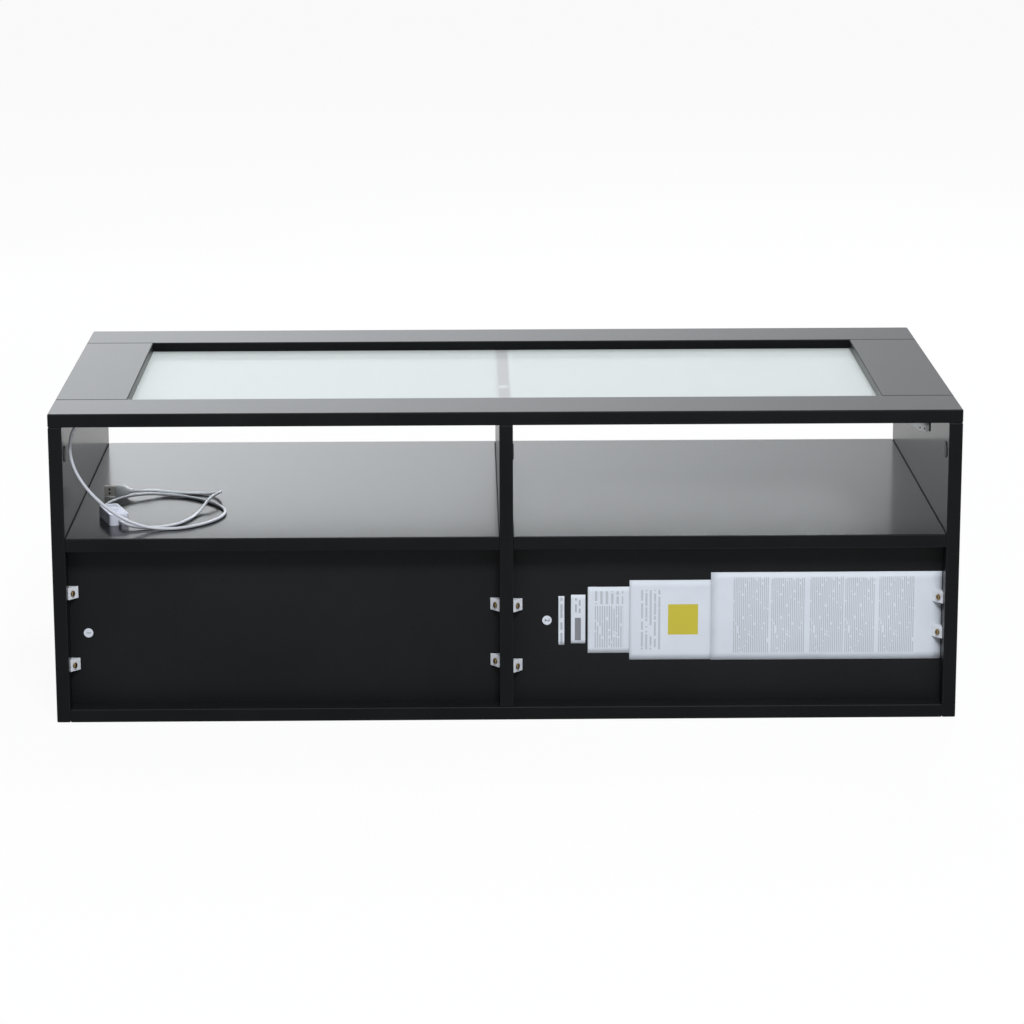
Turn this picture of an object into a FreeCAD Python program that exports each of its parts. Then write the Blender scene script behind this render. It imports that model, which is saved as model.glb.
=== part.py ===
import FreeCAD, Part
import Sketcher
import math
import os
import re

# A low display table with a framed glass top over two open bays and two drawers below.
# Frame: origin on the floor under the middle, +X to the right seen from the rear, +Y to the drawer
# side, +Z up. All lengths are in millimetres.

Vector = FreeCAD.Vector
X, Y, Z = Vector(1, 0, 0), Vector(0, 1, 0), Vector(0, 0, 1)
HANDS = {"left": -1, "right": 1}

doc = FreeCAD.newDocument("display_table")
sheet = doc.addObject("Spreadsheet::Sheet", "Sizes")

# Driving sizes, one cell each
SIZES = {
    # carcass
    "width": 1000,
    "depth": 500,
    "height": 350,
    "board": 15,
    "board_edge_round": 1.5,
    "edge_round": 0.6,
    "frame_width": 80,
    "deck_height": 210,
    # glass top and what holds it
    "glass_thickness": 4,
    "glass_lip": 10,
    "glass_edge_gap": 1,
    "glass_top_gap": 0.2,
    "pad_long": 15,
    "pad_wide": 11,
    "pad_thickness": 1,
    "pad_from_middle": 45,
    "clip_long": 20,
    "clip_wide": 18,
    "clip_thickness": 2,
    "clip_hold": 6,
    "clip_from_corner_x": 210,
    "clip_from_corner_y": 85,
    # back panels and their wedges
    "back_thickness": 5,
    "back_recess": 25,
    "groove_web": 3,
    "groove_gap": 0.15,
    "groove_end_gap": 0.5,
    "wedge_across": 11,
    "wedge_along": 12.5,
    "wedge_tall": 13.5,
    "wedge_screw_from_panel": 5.5,
    "wedge_screw_seat": 5,
    "wedge_screw_tilt": 25,
    "left_side_wedge_high": 128.8,
    "left_side_wedge_low": 46.3,
    "left_divider_wedge_high": 112.8,
    "left_divider_wedge_low": 48.5,
    "right_divider_wedge_high": 111.8,
    "right_divider_wedge_low": 42.2,
    "right_side_wedge_high": 119,
    "right_side_wedge_low": 78.8,
    # cam fittings, dowels and screws
    "fit_gap": 0.1,
    "cam_radius": 7.4,
    "cam_skin": 2.5,
    "cam_reach": 34,
    "cam_slot": 1.4,
    "cover_radius": 9,
    "cover_thickness": 1,
    "bolt_bore_radius": 4,
    "bolt_shank_radius": 2.6,
    "bolt_thread_radius": 3,
    "bolt_thread_long": 11,
    "bolt_head_radius": 3.4,
    "bolt_head_long": 3,
    "dowel_radius": 4,
    "dowel_long": 30,
    "dowel_in_face": 10,
    "screw_radius": 1.75,
    "screw_long": 13,
    "screw_head_radius": 3.2,
    "screw_head_tall": 2,
    "cross_long": 3.8,
    "cross_wide": 0.9,
    "cross_deep": 1.2,
    "long_screw_radius": 3,
    "long_screw_long": 45,
    "long_screw_head_radius": 4.5,
    "long_screw_head_tall": 3.5,
    "socket_radius": 2.3,
    "socket_deep": 2.5,
    "screw_sink": 0.5,
    # places of the fittings
    "rail_cam_from_edge": 22,
    "rail_dowel_from_edge": 62,
    "cam_from_edge": 50,
    "dowel_from_edge": 100,
    "stagger": 16,
    "base_screw_from_edge": 60,
    "base_dowel_from_edge": 155,
    "frame_cam_from_end": 36,
    "frame_dowel_from_end": 20,
    "frame_dowel_step": 32,
    "side_dowel_from_edge": 150,
    # drawers
    "front_gap": 2.5,
    "scoop_wide": 110,
    "scoop_deep": 22,
    "scoop_round": 15,
    "drawer_back_gap": 35,
    "drawer_lift": 12,
    "drawer_headroom": 38,
    "drawer_bottom": 3,
    "drawer_bottom_up": 10,
    "drawer_groove": 5,
    "drawer_cam_up": 32,
    "drawer_cam_down": 25,
    "drawer_screw_up": 45,
    "drawer_screw_down": 30,
    # drawer slides
    "slide_space": 10.5,
    "slide_tall": 27,
    "slide_metal": 1.2,
    "slide_setback": 3,
    "slide_end_gap": 17,
    "slide_rise": 62,
    "slide_lip_gap": 1.8,
    "ball_radius": 1.6,
    "ball_gap": 0.1,
    "ball_strip_long": 110,
    "ball_strip_thickness": 0.6,
    "ball_pitch": 13,
    "slide_screw_from_end": 40,
    # light strip under the rear rail
    "strip_from_rear": 38,
    "strip_wide": 10,
    "strip_thickness": 0.8,
    "strip_start_gap": 43,
    "strip_end_gap": 55,
    "strip_notch_gap": 1,
    "chip_size": 5,
    "chip_thickness": 1.4,
    "chip_pitch": 33.3,
    "tail_long": 40,
    "tail_twist": 34,
    "tail_drop": 17.5,
    "solder_cover_long": 14,
    "solder_cover_wide": 12,
    "solder_cover_wall": 0.45,
    # leads, inline switch and plug
    "lead_radius": 1.75,
    "switch_long": 54,
    "switch_wide": 22,
    "switch_lower_tall": 6.6,
    "switch_upper_tall": 6.1,
    "switch_wall": 1.5,
    "switch_round": 4,
    "switch_crown_round": 1,
    "switch_turn": 19.3,
    "switch_from_wall": 45.5,
    "switch_from_rear": 90,
    "port_height": 5.2,
    "button_long": 14,
    "button_wide": 9,
    "button_proud": 1.2,
    "button_gap": 0.25,
    "button_flange": 1,
    "button_travel": 0.8,
    "button_stem": 2.9,
    "circuit_end_room": 2.5,
    "circuit_side_room": 0.5,
    "circuit_thickness": 1.2,
    "contact_size": 6,
    "plug_from_wall": 23.5,
    "plug_from_rear": 204,
    "shell_long": 13,
    "shell_wide": 12,
    "shell_thick": 4.5,
    "shell_metal": 0.4,
    "window_long": 2.2,
    "window_wide": 2.4,
    "window_from_tip": 5.2,
    "window_from_middle": 2.4,
    "tongue_thick": 1.8,
    "tongue_short": 1,
    "grip_long": 10.5,
    "grip_wide": 14,
    "grip_thick": 8.5,
    "taper_long": 5.5,
    "taper_size": 6.5,
    "relief_long": 4.5,
    "relief_wall": 0.55,
}
for row, (alias, size) in enumerate(SIZES.items(), start=1):
    sheet.set(f"A{row}", alias)
    sheet.set(f"B{row}", str(size))
    sheet.setAlias(f"B{row}", alias)
doc.recompute()

# Lengths that follow from the driving sizes
DERIVED = {
    "half_width": "width / 2",
    "half_depth": "depth / 2",
    "inner_x": "half_width - board",
    "divider_x": "board / 2",
    "rail_z": "height - board",
    "groove_depth": "(board - groove_web) / 2",
    "cam_depth": "board - cam_skin",
    "deck_low": "deck_height - board",
    "opening_x": "half_width - frame_width",
    "opening_y": "half_depth - frame_width",
    "seat_x": "opening_x + glass_lip",
    "seat_y": "opening_y + glass_lip",
    "back_y": "half_depth - back_recess",
    "back_inner_y": "back_y - back_thickness",
    "strip_y": "half_depth - strip_from_rear",
    "strip_low": "rail_z - strip_thickness",
    "strip_start": "inner_x - strip_start_gap",
    "strip_end": "inner_x - strip_end_gap",
    "solder_cover_tall": "2 * lead_radius + 2 * solder_cover_wall",
    "front_inner": "half_depth - board",
    "drawer_low": "board + drawer_lift",
    "drawer_high": "deck_low - drawer_headroom",
    "drawer_back_y": "drawer_back_gap - back_inner_y",
    "bottom_low": "drawer_low + drawer_bottom_up",
    "bottom_high": "bottom_low + drawer_bottom",
    "drawer_inside": "slide_space + board",
    "slide_front": "front_inner - slide_setback",
    "slide_back": "drawer_back_y + slide_end_gap",
    "slide_middle": "(slide_front + slide_back) / 2",
    "slide_z": "drawer_low + slide_rise",
    "raceway": "2 * ball_radius + 2 * ball_gap",
    "outer_lip_z": "slide_tall / 2 - slide_metal",
    "inner_lip_z": "outer_lip_z - raceway",
    "ball_z": "outer_lip_z - ball_gap - ball_radius",
    "switch_tall": "switch_lower_tall + switch_upper_tall",
    "flange_top": "switch_tall - switch_wall - fit_gap",
    "flange_low": "flange_top - button_flange",
    "circuit_top": "switch_wall + circuit_thickness",
    "contact_top": "flange_low - button_stem - button_travel - fit_gap",
    "plug_tip_x": "plug_from_wall - inner_x",
    "plug_y": "plug_from_rear - half_depth",
    "grip_x": "plug_tip_x + shell_long",
    "taper_x": "grip_x + grip_long",
    "relief_x": "taper_x + taper_long",
    "relief_end_x": "relief_x + relief_long",
    "plug_z": "deck_height + grip_wide / 2",
    "relief_end_radius": "lead_radius + relief_wall",
}


def formula(text):
    """Expression text with derived names opened up and each size taken from the sheet."""
    def word(match):
        name = match.group()
        if name in DERIVED:
            return "(" + formula(DERIVED[name]) + ")"
        return "Sizes." + name
    return re.sub(r"[a-z_]+", word, text)


def length_of(text):
    """Value of a length text, in millimetres."""
    return float(sheet.evalExpression(formula(text)))


def point_at(x, y, z):
    """Point whose coordinates are length texts."""
    return Vector(length_of(x), length_of(y), length_of(z))


def span(sign, near, far):
    """Low and high text of a stretch that lies near to far from the middle on one side."""
    if sign > 0:
        return near, far
    return f"-({far})", f"-({near})"


def from_wall(wall, sign, near, far):
    """Low and high text of a stretch that lies near to far from a wall, towards sign."""
    if sign > 0:
        return f"{wall} + {near}", f"{wall} + {far}"
    return f"{wall} - ({far})", f"{wall} - ({near})"


def off_wall(wall, sign, away):
    """Length text of a place that lies away from a wall, towards sign."""
    return f"{wall} {'+' if sign > 0 else '-'} ({away})"


def box(name, x, y, z):
    """Block between a low and a high length text on each axis."""
    block = doc.addObject("Part::Box", name)
    for axis, side, (low, high) in zip("xyz", ("Length", "Width", "Height"), (x, y, z)):
        block.setExpression(f"Placement.Base.{axis}", formula(low))
        block.setExpression(side, formula(f"({high}) - ({low})"))
    return block


def fuse(name, pieces):
    """One solid from overlapping or touching pieces."""
    joined = doc.addObject("Part::MultiFuse", name)
    joined.Shapes = pieces
    joined.Refine = True
    return joined


def cut(name, base, tools):
    """Base with every tool taken out of it."""
    carved = doc.addObject("Part::Cut", name)
    carved.Base = base
    carved.Tool = tools[0] if len(tools) == 1 else fuse(name + "_tools", tools)
    return carved


def feature(name, shape):
    """Object that holds a shape made from the sheet's values."""
    held = doc.addObject("Part::Feature", name)
    held.Shape = shape
    return held


nodes = {}


def node(label, piece):
    """Names a finished sub-part."""
    piece.Label = label
    nodes[label] = piece
    return piece


# Fittings: every joint notes the place of its fastener and the holes that it needs
drillings = {}
places = {}


def drill(label, start, along, radius, deep):
    """Notes a round hole in a board, from start along a direction."""
    hole = Part.makeCylinder(length_of(radius), length_of(deep), start, along)
    drillings.setdefault(label, []).append(hole)


def place(group, origin, along, across):
    """Notes a fastener whose own Z runs along and whose own X runs across."""
    turn = FreeCAD.Rotation(across, along.cross(across), along, "ZXY")
    places.setdefault(group, []).append(FreeCAD.Placement(origin, turn))


def sideways(axis):
    """Axis direction square to another axis direction."""
    return Vector(axis.y, axis.z, axis.x)


def cam_joint(held, mate, start, along, face, prefix=""):
    """Cam in the held board and its bolt in the mate; start is on the joint face, at the bolt's axis.

    along points from the joint face into the held board, face from its middle out of the cam's face.
    """
    centre = start + along * length_of("cam_reach")
    mouth = centre + face * length_of("board / 2")
    drill(held, start, along, "bolt_bore_radius", "cam_reach")
    drill(held, mouth, -face, "cam_radius + fit_gap", "cam_depth + fit_gap")
    drill(mate, start, -along, "bolt_thread_radius + fit_gap / 2", "bolt_thread_long + fit_gap")
    place(prefix + "cam_locks", mouth, -face, -along)
    place(prefix + "cam_bolts", start, along, face)
    return mouth


def dowel_joint(held, mate, start, along):
    """Dowel with its short end in the face of the mate and its long end in the held board's edge."""
    drill(held, start, along, "dowel_radius + fit_gap / 2", "dowel_long - dowel_in_face + fit_gap")
    drill(mate, start, -along, "dowel_radius + fit_gap / 2", "dowel_in_face + fit_gap")
    place("dowels", start - along * length_of("dowel_in_face"), along, sideways(along))


def long_screw_joint(outer, inner, start, along, across, group):
    """Long screw sunk into the outer board's face and driven into the edge of the inner board."""
    sink = along * length_of("screw_sink")
    drill(outer, start, along, "long_screw_head_radius + fit_gap", "long_screw_head_tall + screw_sink")
    reach = "long_screw_long + screw_sink + fit_gap"
    drill(outer, start, along, "long_screw_radius + fit_gap / 2", reach)
    drill(inner, start, along, "long_screw_radius + fit_gap / 2", reach)
    place(group, start + sink, along, across)


def screw_joint(board_label, seat, along, across, group):
    """Short screw whose head seats on a plate that lies on the board."""
    drill(board_label, seat, along, "screw_radius + fit_gap / 2", "screw_long + fit_gap")
    place(group, seat, along, across)


def board_with_holes(label, x, y, z, tools=()):
    """Board with eased edges, its grooves or rebates, and the holes noted for it."""
    blank = box(label + "_blank", x, y, z)
    eased = doc.addObject("Part::Fillet", label + "_eased")
    eased.Base = blank
    radius = length_of("board_edge_round")
    eased.Edges = [(edge, radius, radius) for edge in range(1, 13)]
    tools = list(tools)
    holes = drillings.get(label, [])
    if holes:
        shape = holes[0].multiFuse(holes[1:]) if len(holes) > 1 else holes[0]
        tools.append(feature(label + "_drilling", shape))
    return node(label, cut(label, eased, tools) if tools else eased)


def middle_of(sign, text):
    """Length text on the left or the right of the middle."""
    return text if sign > 0 else f"-({text})"


# Joints of the carcass
FULL_DEPTH = ("-half_depth", "half_depth")
ENDS = {"rear": -1, "front": 1}
COVERED_CAMS = []

for hand, sign in HANDS.items():
    side = f"{hand}_side_panel"
    outward = X * sign
    wall = middle_of(sign, "inner_x")
    side_middle = middle_of(sign, "inner_x + board / 2")

    # top rails and top boards on the side panel
    for end, way in ENDS.items():
        cam_y = middle_of(way, "half_depth - rail_cam_from_edge")
        mouth = cam_joint(side, f"{end}_top_rail", point_at(side_middle, cam_y, "rail_z"), -Z, -outward)
        COVERED_CAMS.append((mouth, -outward))
        dowel_y = middle_of(way, "half_depth - rail_dowel_from_edge")
        dowel_joint(side, f"{end}_top_rail", point_at(side_middle, dowel_y, "rail_z"), -Z)
        frame_y = middle_of(way, "opening_y")
        frame_z = "rail_z + board / 2"
        cam_x = middle_of(sign, "half_width - frame_cam_from_end")
        cam_joint(f"{hand}_top_board", f"{end}_top_rail", point_at(cam_x, frame_y, frame_z), Y * -way, -Z)
        for step in ("0", "frame_dowel_step"):
            dowel_x = middle_of(sign, f"half_width - frame_dowel_from_end - {step}")
            dowel_joint(f"{hand}_top_board", f"{end}_top_rail", point_at(dowel_x, frame_y, frame_z), Y * -way)
        board_y = middle_of(way, "half_depth - side_dowel_from_edge")
        dowel_joint(side, f"{hand}_top_board", point_at(side_middle, board_y, "rail_z"), -Z)

        # bottom panel between the side panels
        base_y = middle_of(way, "half_depth - cam_from_edge")
        cam_joint("bottom_panel", side, point_at(wall, base_y, "board / 2"), -outward, -Z)
        base_y = middle_of(way, "half_depth - dowel_from_edge")
        dowel_joint("bottom_panel", side, point_at(wall, base_y, "board / 2"), -outward)

        # deck between the side panel and the divider, stepped on one hand so that the bolts pass each other
        shift = "0" if sign < 0 else "stagger"
        deck_z = "deck_low + board / 2"
        divider_face = middle_of(sign, "divider_x")
        for mate, start_x, inward in ((side, wall, -outward), ("centre_divider", divider_face, outward)):
            deck_y = middle_of(way, f"half_depth - cam_from_edge - {shift}")
            cam_joint(f"{hand}_deck", mate, point_at(start_x, deck_y, deck_z), inward, -Z)
            deck_y = middle_of(way, f"half_depth - dowel_from_edge - {shift}")
            dowel_joint(f"{hand}_deck", mate, point_at(start_x, deck_y, deck_z), inward)

# Joints of the divider with the rails above and the bottom panel below
for end, way in ENDS.items():
    cam_y = middle_of(way, "half_depth - rail_cam_from_edge")
    mouth = cam_joint("centre_divider", f"{end}_top_rail", point_at("0", cam_y, "rail_z"), -Z, X)
    COVERED_CAMS.append((mouth, X))
    dowel_y = middle_of(way, "half_depth - rail_dowel_from_edge")
    dowel_joint("centre_divider", f"{end}_top_rail", point_at("0", dowel_y, "rail_z"), -Z)
    dowel_y = middle_of(way, "half_depth - base_dowel_from_edge")
    dowel_joint("centre_divider", "bottom_panel", point_at("0", dowel_y, "board"), Z)
for screw_y in ("base_screw_from_edge - half_depth", "0", "half_depth - base_screw_from_edge"):
    start = point_at("0", screw_y, "0")
    long_screw_joint("bottom_panel", "centre_divider", start, Z, X, "base_screws")

# Clips under the rear rail and both top boards, each with a screw up into the frame
CLIPS = []
for hand, sign in HANDS.items():
    clip_x = middle_of(sign, "opening_x - clip_from_corner_x")
    CLIPS.append(("rear_top_rail", point_at(clip_x, "-seat_y", "rail_z"), -Y))
    for way in ENDS.values():
        clip_y = middle_of(way, "opening_y - clip_from_corner_y")
        CLIPS.append((f"{hand}_top_board", point_at(middle_of(sign, "seat_x"), clip_y, "rail_z"), X * sign))
for frame_label, edge, outward in CLIPS:
    hole = edge + outward * length_of("(clip_wide - clip_hold) / 2")
    screw_joint(frame_label, hole - Z * length_of("clip_thickness"), Z, outward, "chipboard_screws")

# Both walls of each bay: where the wall is, and the sign of the way from it into the bay
BAY_WALLS = []
for hand, sign in HANDS.items():
    BAY_WALLS.append((hand, "divider", middle_of(sign, "divider_x"), sign))
    BAY_WALLS.append((hand, "side", middle_of(sign, "inner_x"), -sign))


def wall_label(hand, wall_name):
    """Name of the board that makes a wall of a bay."""
    return f"{hand}_side_panel" if wall_name == "side" else "centre_divider"


def drawer_side_label(hand, wall_name):
    """Name of the drawer side that runs along a wall of its bay."""
    at_left = (hand == "left") == (wall_name == "side")
    return f"{hand}_drawer_{'left' if at_left else 'right'}_side"


# Wedges that press the back panels forward, two on each wall
WEDGE_PLACES = []
tilt = math.radians(length_of("wedge_screw_tilt"))
for hand, wall_name, wall, sign in BAY_WALLS:
    into = X * -sign
    aim = into * math.cos(tilt) + Y * math.sin(tilt)
    for level in ("high", "low"):
        corner = point_at(wall, "-back_y", f"board + {hand}_{wall_name}_wedge_{level}")
        entry = corner - Y * length_of("wedge_screw_from_panel")
        seat = entry - aim * length_of("wedge_screw_seat")
        screw_joint(wall_label(hand, wall_name), seat, aim, Z, "chipboard_screws")
        WEDGE_PLACES.append((corner, into, seat, aim))

# Screws of the drawer slides; those of the two bays pass each other in the divider
SLIDE_SCREW_Y = ("slide_front - slide_screw_from_end", "slide_middle", "slide_back + slide_screw_from_end")
SLIDE_STAGGER = {"left": "0", "right": "stagger"}
for hand, wall_name, wall, sign in BAY_WALLS:
    for screw_y in SLIDE_SCREW_Y:
        seat = point_at(off_wall(wall, sign, "slide_metal"), f"{screw_y} - {SLIDE_STAGGER[hand]}", "slide_z")
        screw_joint(wall_label(hand, wall_name), seat, X * -sign, Z, "chipboard_screws")
        seat = point_at(off_wall(wall, sign, "slide_space - slide_metal"), screw_y, "slide_z")
        screw_joint(drawer_side_label(hand, wall_name), seat, X * sign, Z, f"{hand}_drawer_slide_screws")

# Joints of the drawer boxes
for hand, wall_name, wall, sign in BAY_WALLS:
    side_label = drawer_side_label(hand, wall_name)
    middle = off_wall(wall, sign, "slide_space + board / 2")
    for cam_z in ("drawer_low + drawer_cam_up", "drawer_high - drawer_cam_down"):
        start = point_at(middle, "front_inner", cam_z)
        cam_joint(side_label, f"{hand}_drawer_front", start, -Y, X * sign, f"{hand}_drawer_")
    outer = off_wall(wall, sign, "slide_space")
    for screw_z in ("drawer_low + drawer_screw_up", "drawer_high - drawer_screw_down"):
        start = point_at(outer, "drawer_back_y + board / 2", screw_z)
        group = f"{hand}_drawer_back_screws"
        long_screw_joint(side_label, f"{hand}_drawer_back", start, X * sign, Z, group)

# Carcass boards with their grooves, rebates and holes
BACK_GROOVE_Y = ("-back_y - groove_gap", "-back_inner_y + groove_gap")
PANEL_Z = ("board - groove_depth", "deck_low + groove_depth")


def back_groove(label, x, z):
    """Groove that takes an edge of a back panel."""
    return box(label + "_groove", x, BACK_GROOVE_Y, z)


for hand, sign in HANDS.items():
    groove = back_groove(f"{hand}_side", span(sign, "inner_x", "inner_x + groove_depth"), PANEL_Z)
    across = span(sign, "inner_x", "half_width")
    board_with_holes(f"{hand}_side_panel", across, FULL_DEPTH, ("0", "rail_z"), [groove])

    bay = span(sign, "divider_x", "inner_x")
    groove = back_groove(f"{hand}_deck", bay, ("deck_low", "deck_low + groove_depth"))
    board_with_holes(f"{hand}_deck", bay, FULL_DEPTH, ("deck_low", "deck_height"), [groove])

between_sides = ("-inner_x", "inner_x")
groove = back_groove("base", between_sides, ("board - groove_depth", "board"))
board_with_holes("bottom_panel", between_sides, FULL_DEPTH, ("0", "board"), [groove])

divider_cuts = [
    back_groove(f"{hand}_divider", span(sign, "divider_x - groove_depth", "divider_x"), PANEL_Z)
    for hand, sign in HANDS.items()
]
divider_cuts.append(box(
    "strip_notch",
    ("-divider_x", "divider_x"),
    ("-strip_y - strip_wide / 2 - strip_notch_gap", "-strip_y + strip_wide / 2 + strip_notch_gap"),
    ("strip_low - chip_thickness - strip_notch_gap", "rail_z"),
))
PAD_X = ("-pad_wide / 2", "pad_wide / 2")
PAD_Y = ("-pad_from_middle - pad_long / 2", "-pad_from_middle + pad_long / 2")
PAD_Z = ("rail_z - pad_thickness", "rail_z")
divider_cuts.append(box("pad_seat", PAD_X, PAD_Y, PAD_Z))
board_with_holes("centre_divider", ("-divider_x", "divider_x"), FULL_DEPTH, ("board", "rail_z"), divider_cuts)

SEAT_Z = ("rail_z", "rail_z + glass_thickness + glass_top_gap")
for end, way in ENDS.items():
    rebate = box(f"{end}_rail_rebate", ("-seat_x", "seat_x"), span(way, "opening_y", "seat_y"), SEAT_Z)
    label = f"{end}_top_rail"
    along = ("-half_width", "half_width")
    board_with_holes(label, along, span(way, "opening_y", "half_depth"), ("rail_z", "height"), [rebate])
for hand, sign in HANDS.items():
    between = ("-opening_y", "opening_y")
    rebate = box(f"{hand}_board_rebate", span(sign, "opening_x", "seat_x"), between, SEAT_Z)
    label = f"{hand}_top_board"
    board_with_holes(label, span(sign, "opening_x", "half_width"), between, ("rail_z", "height"), [rebate])

# Back panels in their grooves
for hand, sign in HANDS.items():
    node(f"{hand}_back_panel", box(
        f"{hand}_back_panel",
        span(sign, "divider_x - groove_depth + groove_end_gap", "inner_x + groove_depth - groove_end_gap"),
        ("-back_y", "-back_inner_y"),
        ("board - groove_depth", "deck_low + groove_depth - groove_end_gap"),
    ))

# Glass with ground edges, its pad on the divider and its clips
glass_blank = box(
    "glass_blank",
    ("-seat_x + glass_edge_gap", "seat_x - glass_edge_gap"),
    ("-seat_y + glass_edge_gap", "seat_y - glass_edge_gap"),
    ("rail_z", "rail_z + glass_thickness"),
)
glass = doc.addObject("Part::Chamfer", "glass_top")
glass.Base = glass_blank
glass.Edges = [(edge, length_of("edge_round"), length_of("edge_round")) for edge in range(1, 13)]
node("glass_top", glass)
node("glass_pad", box("glass_pad", PAD_X, PAD_Y, PAD_Z))


def revolved(name, profile):
    """Body turned about its own Z axis from an outline of radius and height texts."""
    body = doc.addObject("PartDesign::Body", name)
    planes = {plane.Role: plane for plane in body.Origin.OriginFeatures}
    outline = body.newObject("Sketcher::SketchObject", name + "_outline")
    outline.AttachmentSupport = (planes["XZ_Plane"], "")
    outline.MapMode = "FlatFace"
    corners = [Vector(length_of(radius), length_of(tall), 0) for radius, tall in profile]
    count = len(corners)
    for index in range(count):
        outline.addGeometry(Part.LineSegment(corners[index], corners[(index + 1) % count]), False)
    for index in range(count):
        outline.addConstraint(Sketcher.Constraint("Coincident", index, 2, (index + 1) % count, 1))
    for index, (radius, tall) in enumerate(profile):
        for kind, text in (("DistanceX", radius), ("DistanceY", tall)):
            value = length_of(text)
            constraint = outline.addConstraint(Sketcher.Constraint(kind, -1, 1, index, 1, value))
            if value != 0:
                outline.setExpression(f"Constraints[{constraint}]", formula(text))
    turned = body.newObject("PartDesign::Revolution", name + "_turned")
    turned.Profile = outline
    turned.ReferenceAxis = (planes["Z_Axis"], [""])
    turned.Angle = 360
    body.Tip = turned
    return body


def group_of(label, master):
    """One node with a copy of the master at every place noted under the label."""
    doc.recompute()
    copies = []
    for spot in places[label]:
        copy = master.Shape.copy()
        copy.Placement = spot.multiply(master.Placement)
        copies.append(copy)
    return node(label, feature(label, Part.makeCompound(copies)))


# Fasteners: each is turned once about its own axis, given its drive recess and repeated at its places
bolt = revolved("cam_bolt", [
    ("0", "-bolt_thread_long"),
    ("bolt_thread_radius", "-bolt_thread_long"),
    ("bolt_thread_radius", "0"),
    ("bolt_shank_radius", "0"),
    ("bolt_shank_radius", "cam_reach - bolt_head_long / 2"),
    ("bolt_head_radius", "cam_reach - bolt_head_long / 2"),
    ("bolt_head_radius", "cam_reach + bolt_head_long / 2"),
    ("0", "cam_reach + bolt_head_long / 2"),
])
dowel = revolved("dowel", [
    ("0", "0"),
    ("dowel_radius - edge_round", "0"),
    ("dowel_radius", "edge_round"),
    ("dowel_radius", "dowel_long - edge_round"),
    ("dowel_radius - edge_round", "dowel_long"),
    ("0", "dowel_long"),
])
screw_blank = revolved("screw_blank", [
    ("0", "-screw_head_tall"),
    ("screw_head_radius - edge_round", "-screw_head_tall"),
    ("screw_head_radius", "-screw_head_tall + edge_round"),
    ("screw_head_radius", "0"),
    ("screw_radius", "0"),
    ("screw_radius", "screw_long - 2 * screw_radius"),
    ("0", "screw_long"),
])
CROSS_SPAN = ("-cross_long / 2", "cross_long / 2")
CROSS_WIDTH = ("-cross_wide / 2", "cross_wide / 2")
CROSS_DEPTH = ("-2 * screw_head_tall", "cross_deep - screw_head_tall")
screw = cut("screw", screw_blank, [
    box("cross_along", CROSS_SPAN, CROSS_WIDTH, CROSS_DEPTH),
    box("cross_across", CROSS_WIDTH, CROSS_SPAN, CROSS_DEPTH),
])
long_screw_blank = revolved("long_screw_blank", [
    ("0", "0"),
    ("long_screw_head_radius", "0"),
    ("long_screw_head_radius", "long_screw_head_tall / 2"),
    ("long_screw_radius", "long_screw_head_tall"),
    ("long_screw_radius", "long_screw_long - long_screw_radius"),
    ("0", "long_screw_long"),
])
socket = doc.addObject("Part::Prism", "screw_socket")
socket.Polygon = 6
socket.setExpression("Circumradius", formula("socket_radius"))
socket.setExpression("Height", formula("2 * socket_deep"))
socket.setExpression("Placement.Base.z", formula("-socket_deep"))
long_screw = cut("long_screw", long_screw_blank, [socket])

# Cam: a drum with a cross slot in its face and a slot that takes the bolt's head
drum = doc.addObject("Part::Cylinder", "cam_drum")
drum.setExpression("Radius", formula("cam_radius"))
drum.setExpression("Height", formula("cam_depth"))
HEAD_ROOM = "bolt_head_radius + 3 * fit_gap"
bolt_slot = box(
    "cam_bolt_slot",
    (f"-({HEAD_ROOM})", "2 * cam_radius"),
    (f"-({HEAD_ROOM})", HEAD_ROOM),
    (f"board / 2 - ({HEAD_ROOM})", "2 * cam_depth"),
)
SLOT_SPAN = ("-cam_radius / 2", "cam_radius / 2")
SLOT_WIDTH = ("-cam_slot / 2", "cam_slot / 2")
cross_slots = [
    box("cam_slot_along", SLOT_SPAN, SLOT_WIDTH, ("-cam_slot", "cam_slot")),
    box("cam_slot_across", SLOT_WIDTH, SLOT_SPAN, ("-cam_slot", "cam_slot")),
]
cam = cut("cam", drum, [bolt_slot, *cross_slots])

group_of("cam_locks", cam)
group_of("cam_bolts", bolt)
group_of("dowels", dowel)
group_of("base_screws", long_screw)
group_of("chipboard_screws", screw)
for hand in HANDS:
    group_of(f"{hand}_drawer_cam_locks", cam)
    group_of(f"{hand}_drawer_cam_bolts", bolt)
    group_of(f"{hand}_drawer_back_screws", long_screw)
    group_of(f"{hand}_drawer_slide_screws", screw)

# Round covers over the cams that show in the display bays
for mouth, outward in COVERED_CAMS:
    place("cam_covers", mouth, outward, Z)
cover = revolved("cam_cover", [
    ("0", "0"),
    ("cover_radius", "0"),
    ("cover_radius", "cover_thickness / 2"),
    ("cover_radius - cover_thickness / 2", "cover_thickness"),
    ("0", "cover_thickness"),
])
group_of("cam_covers", cover)

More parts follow.
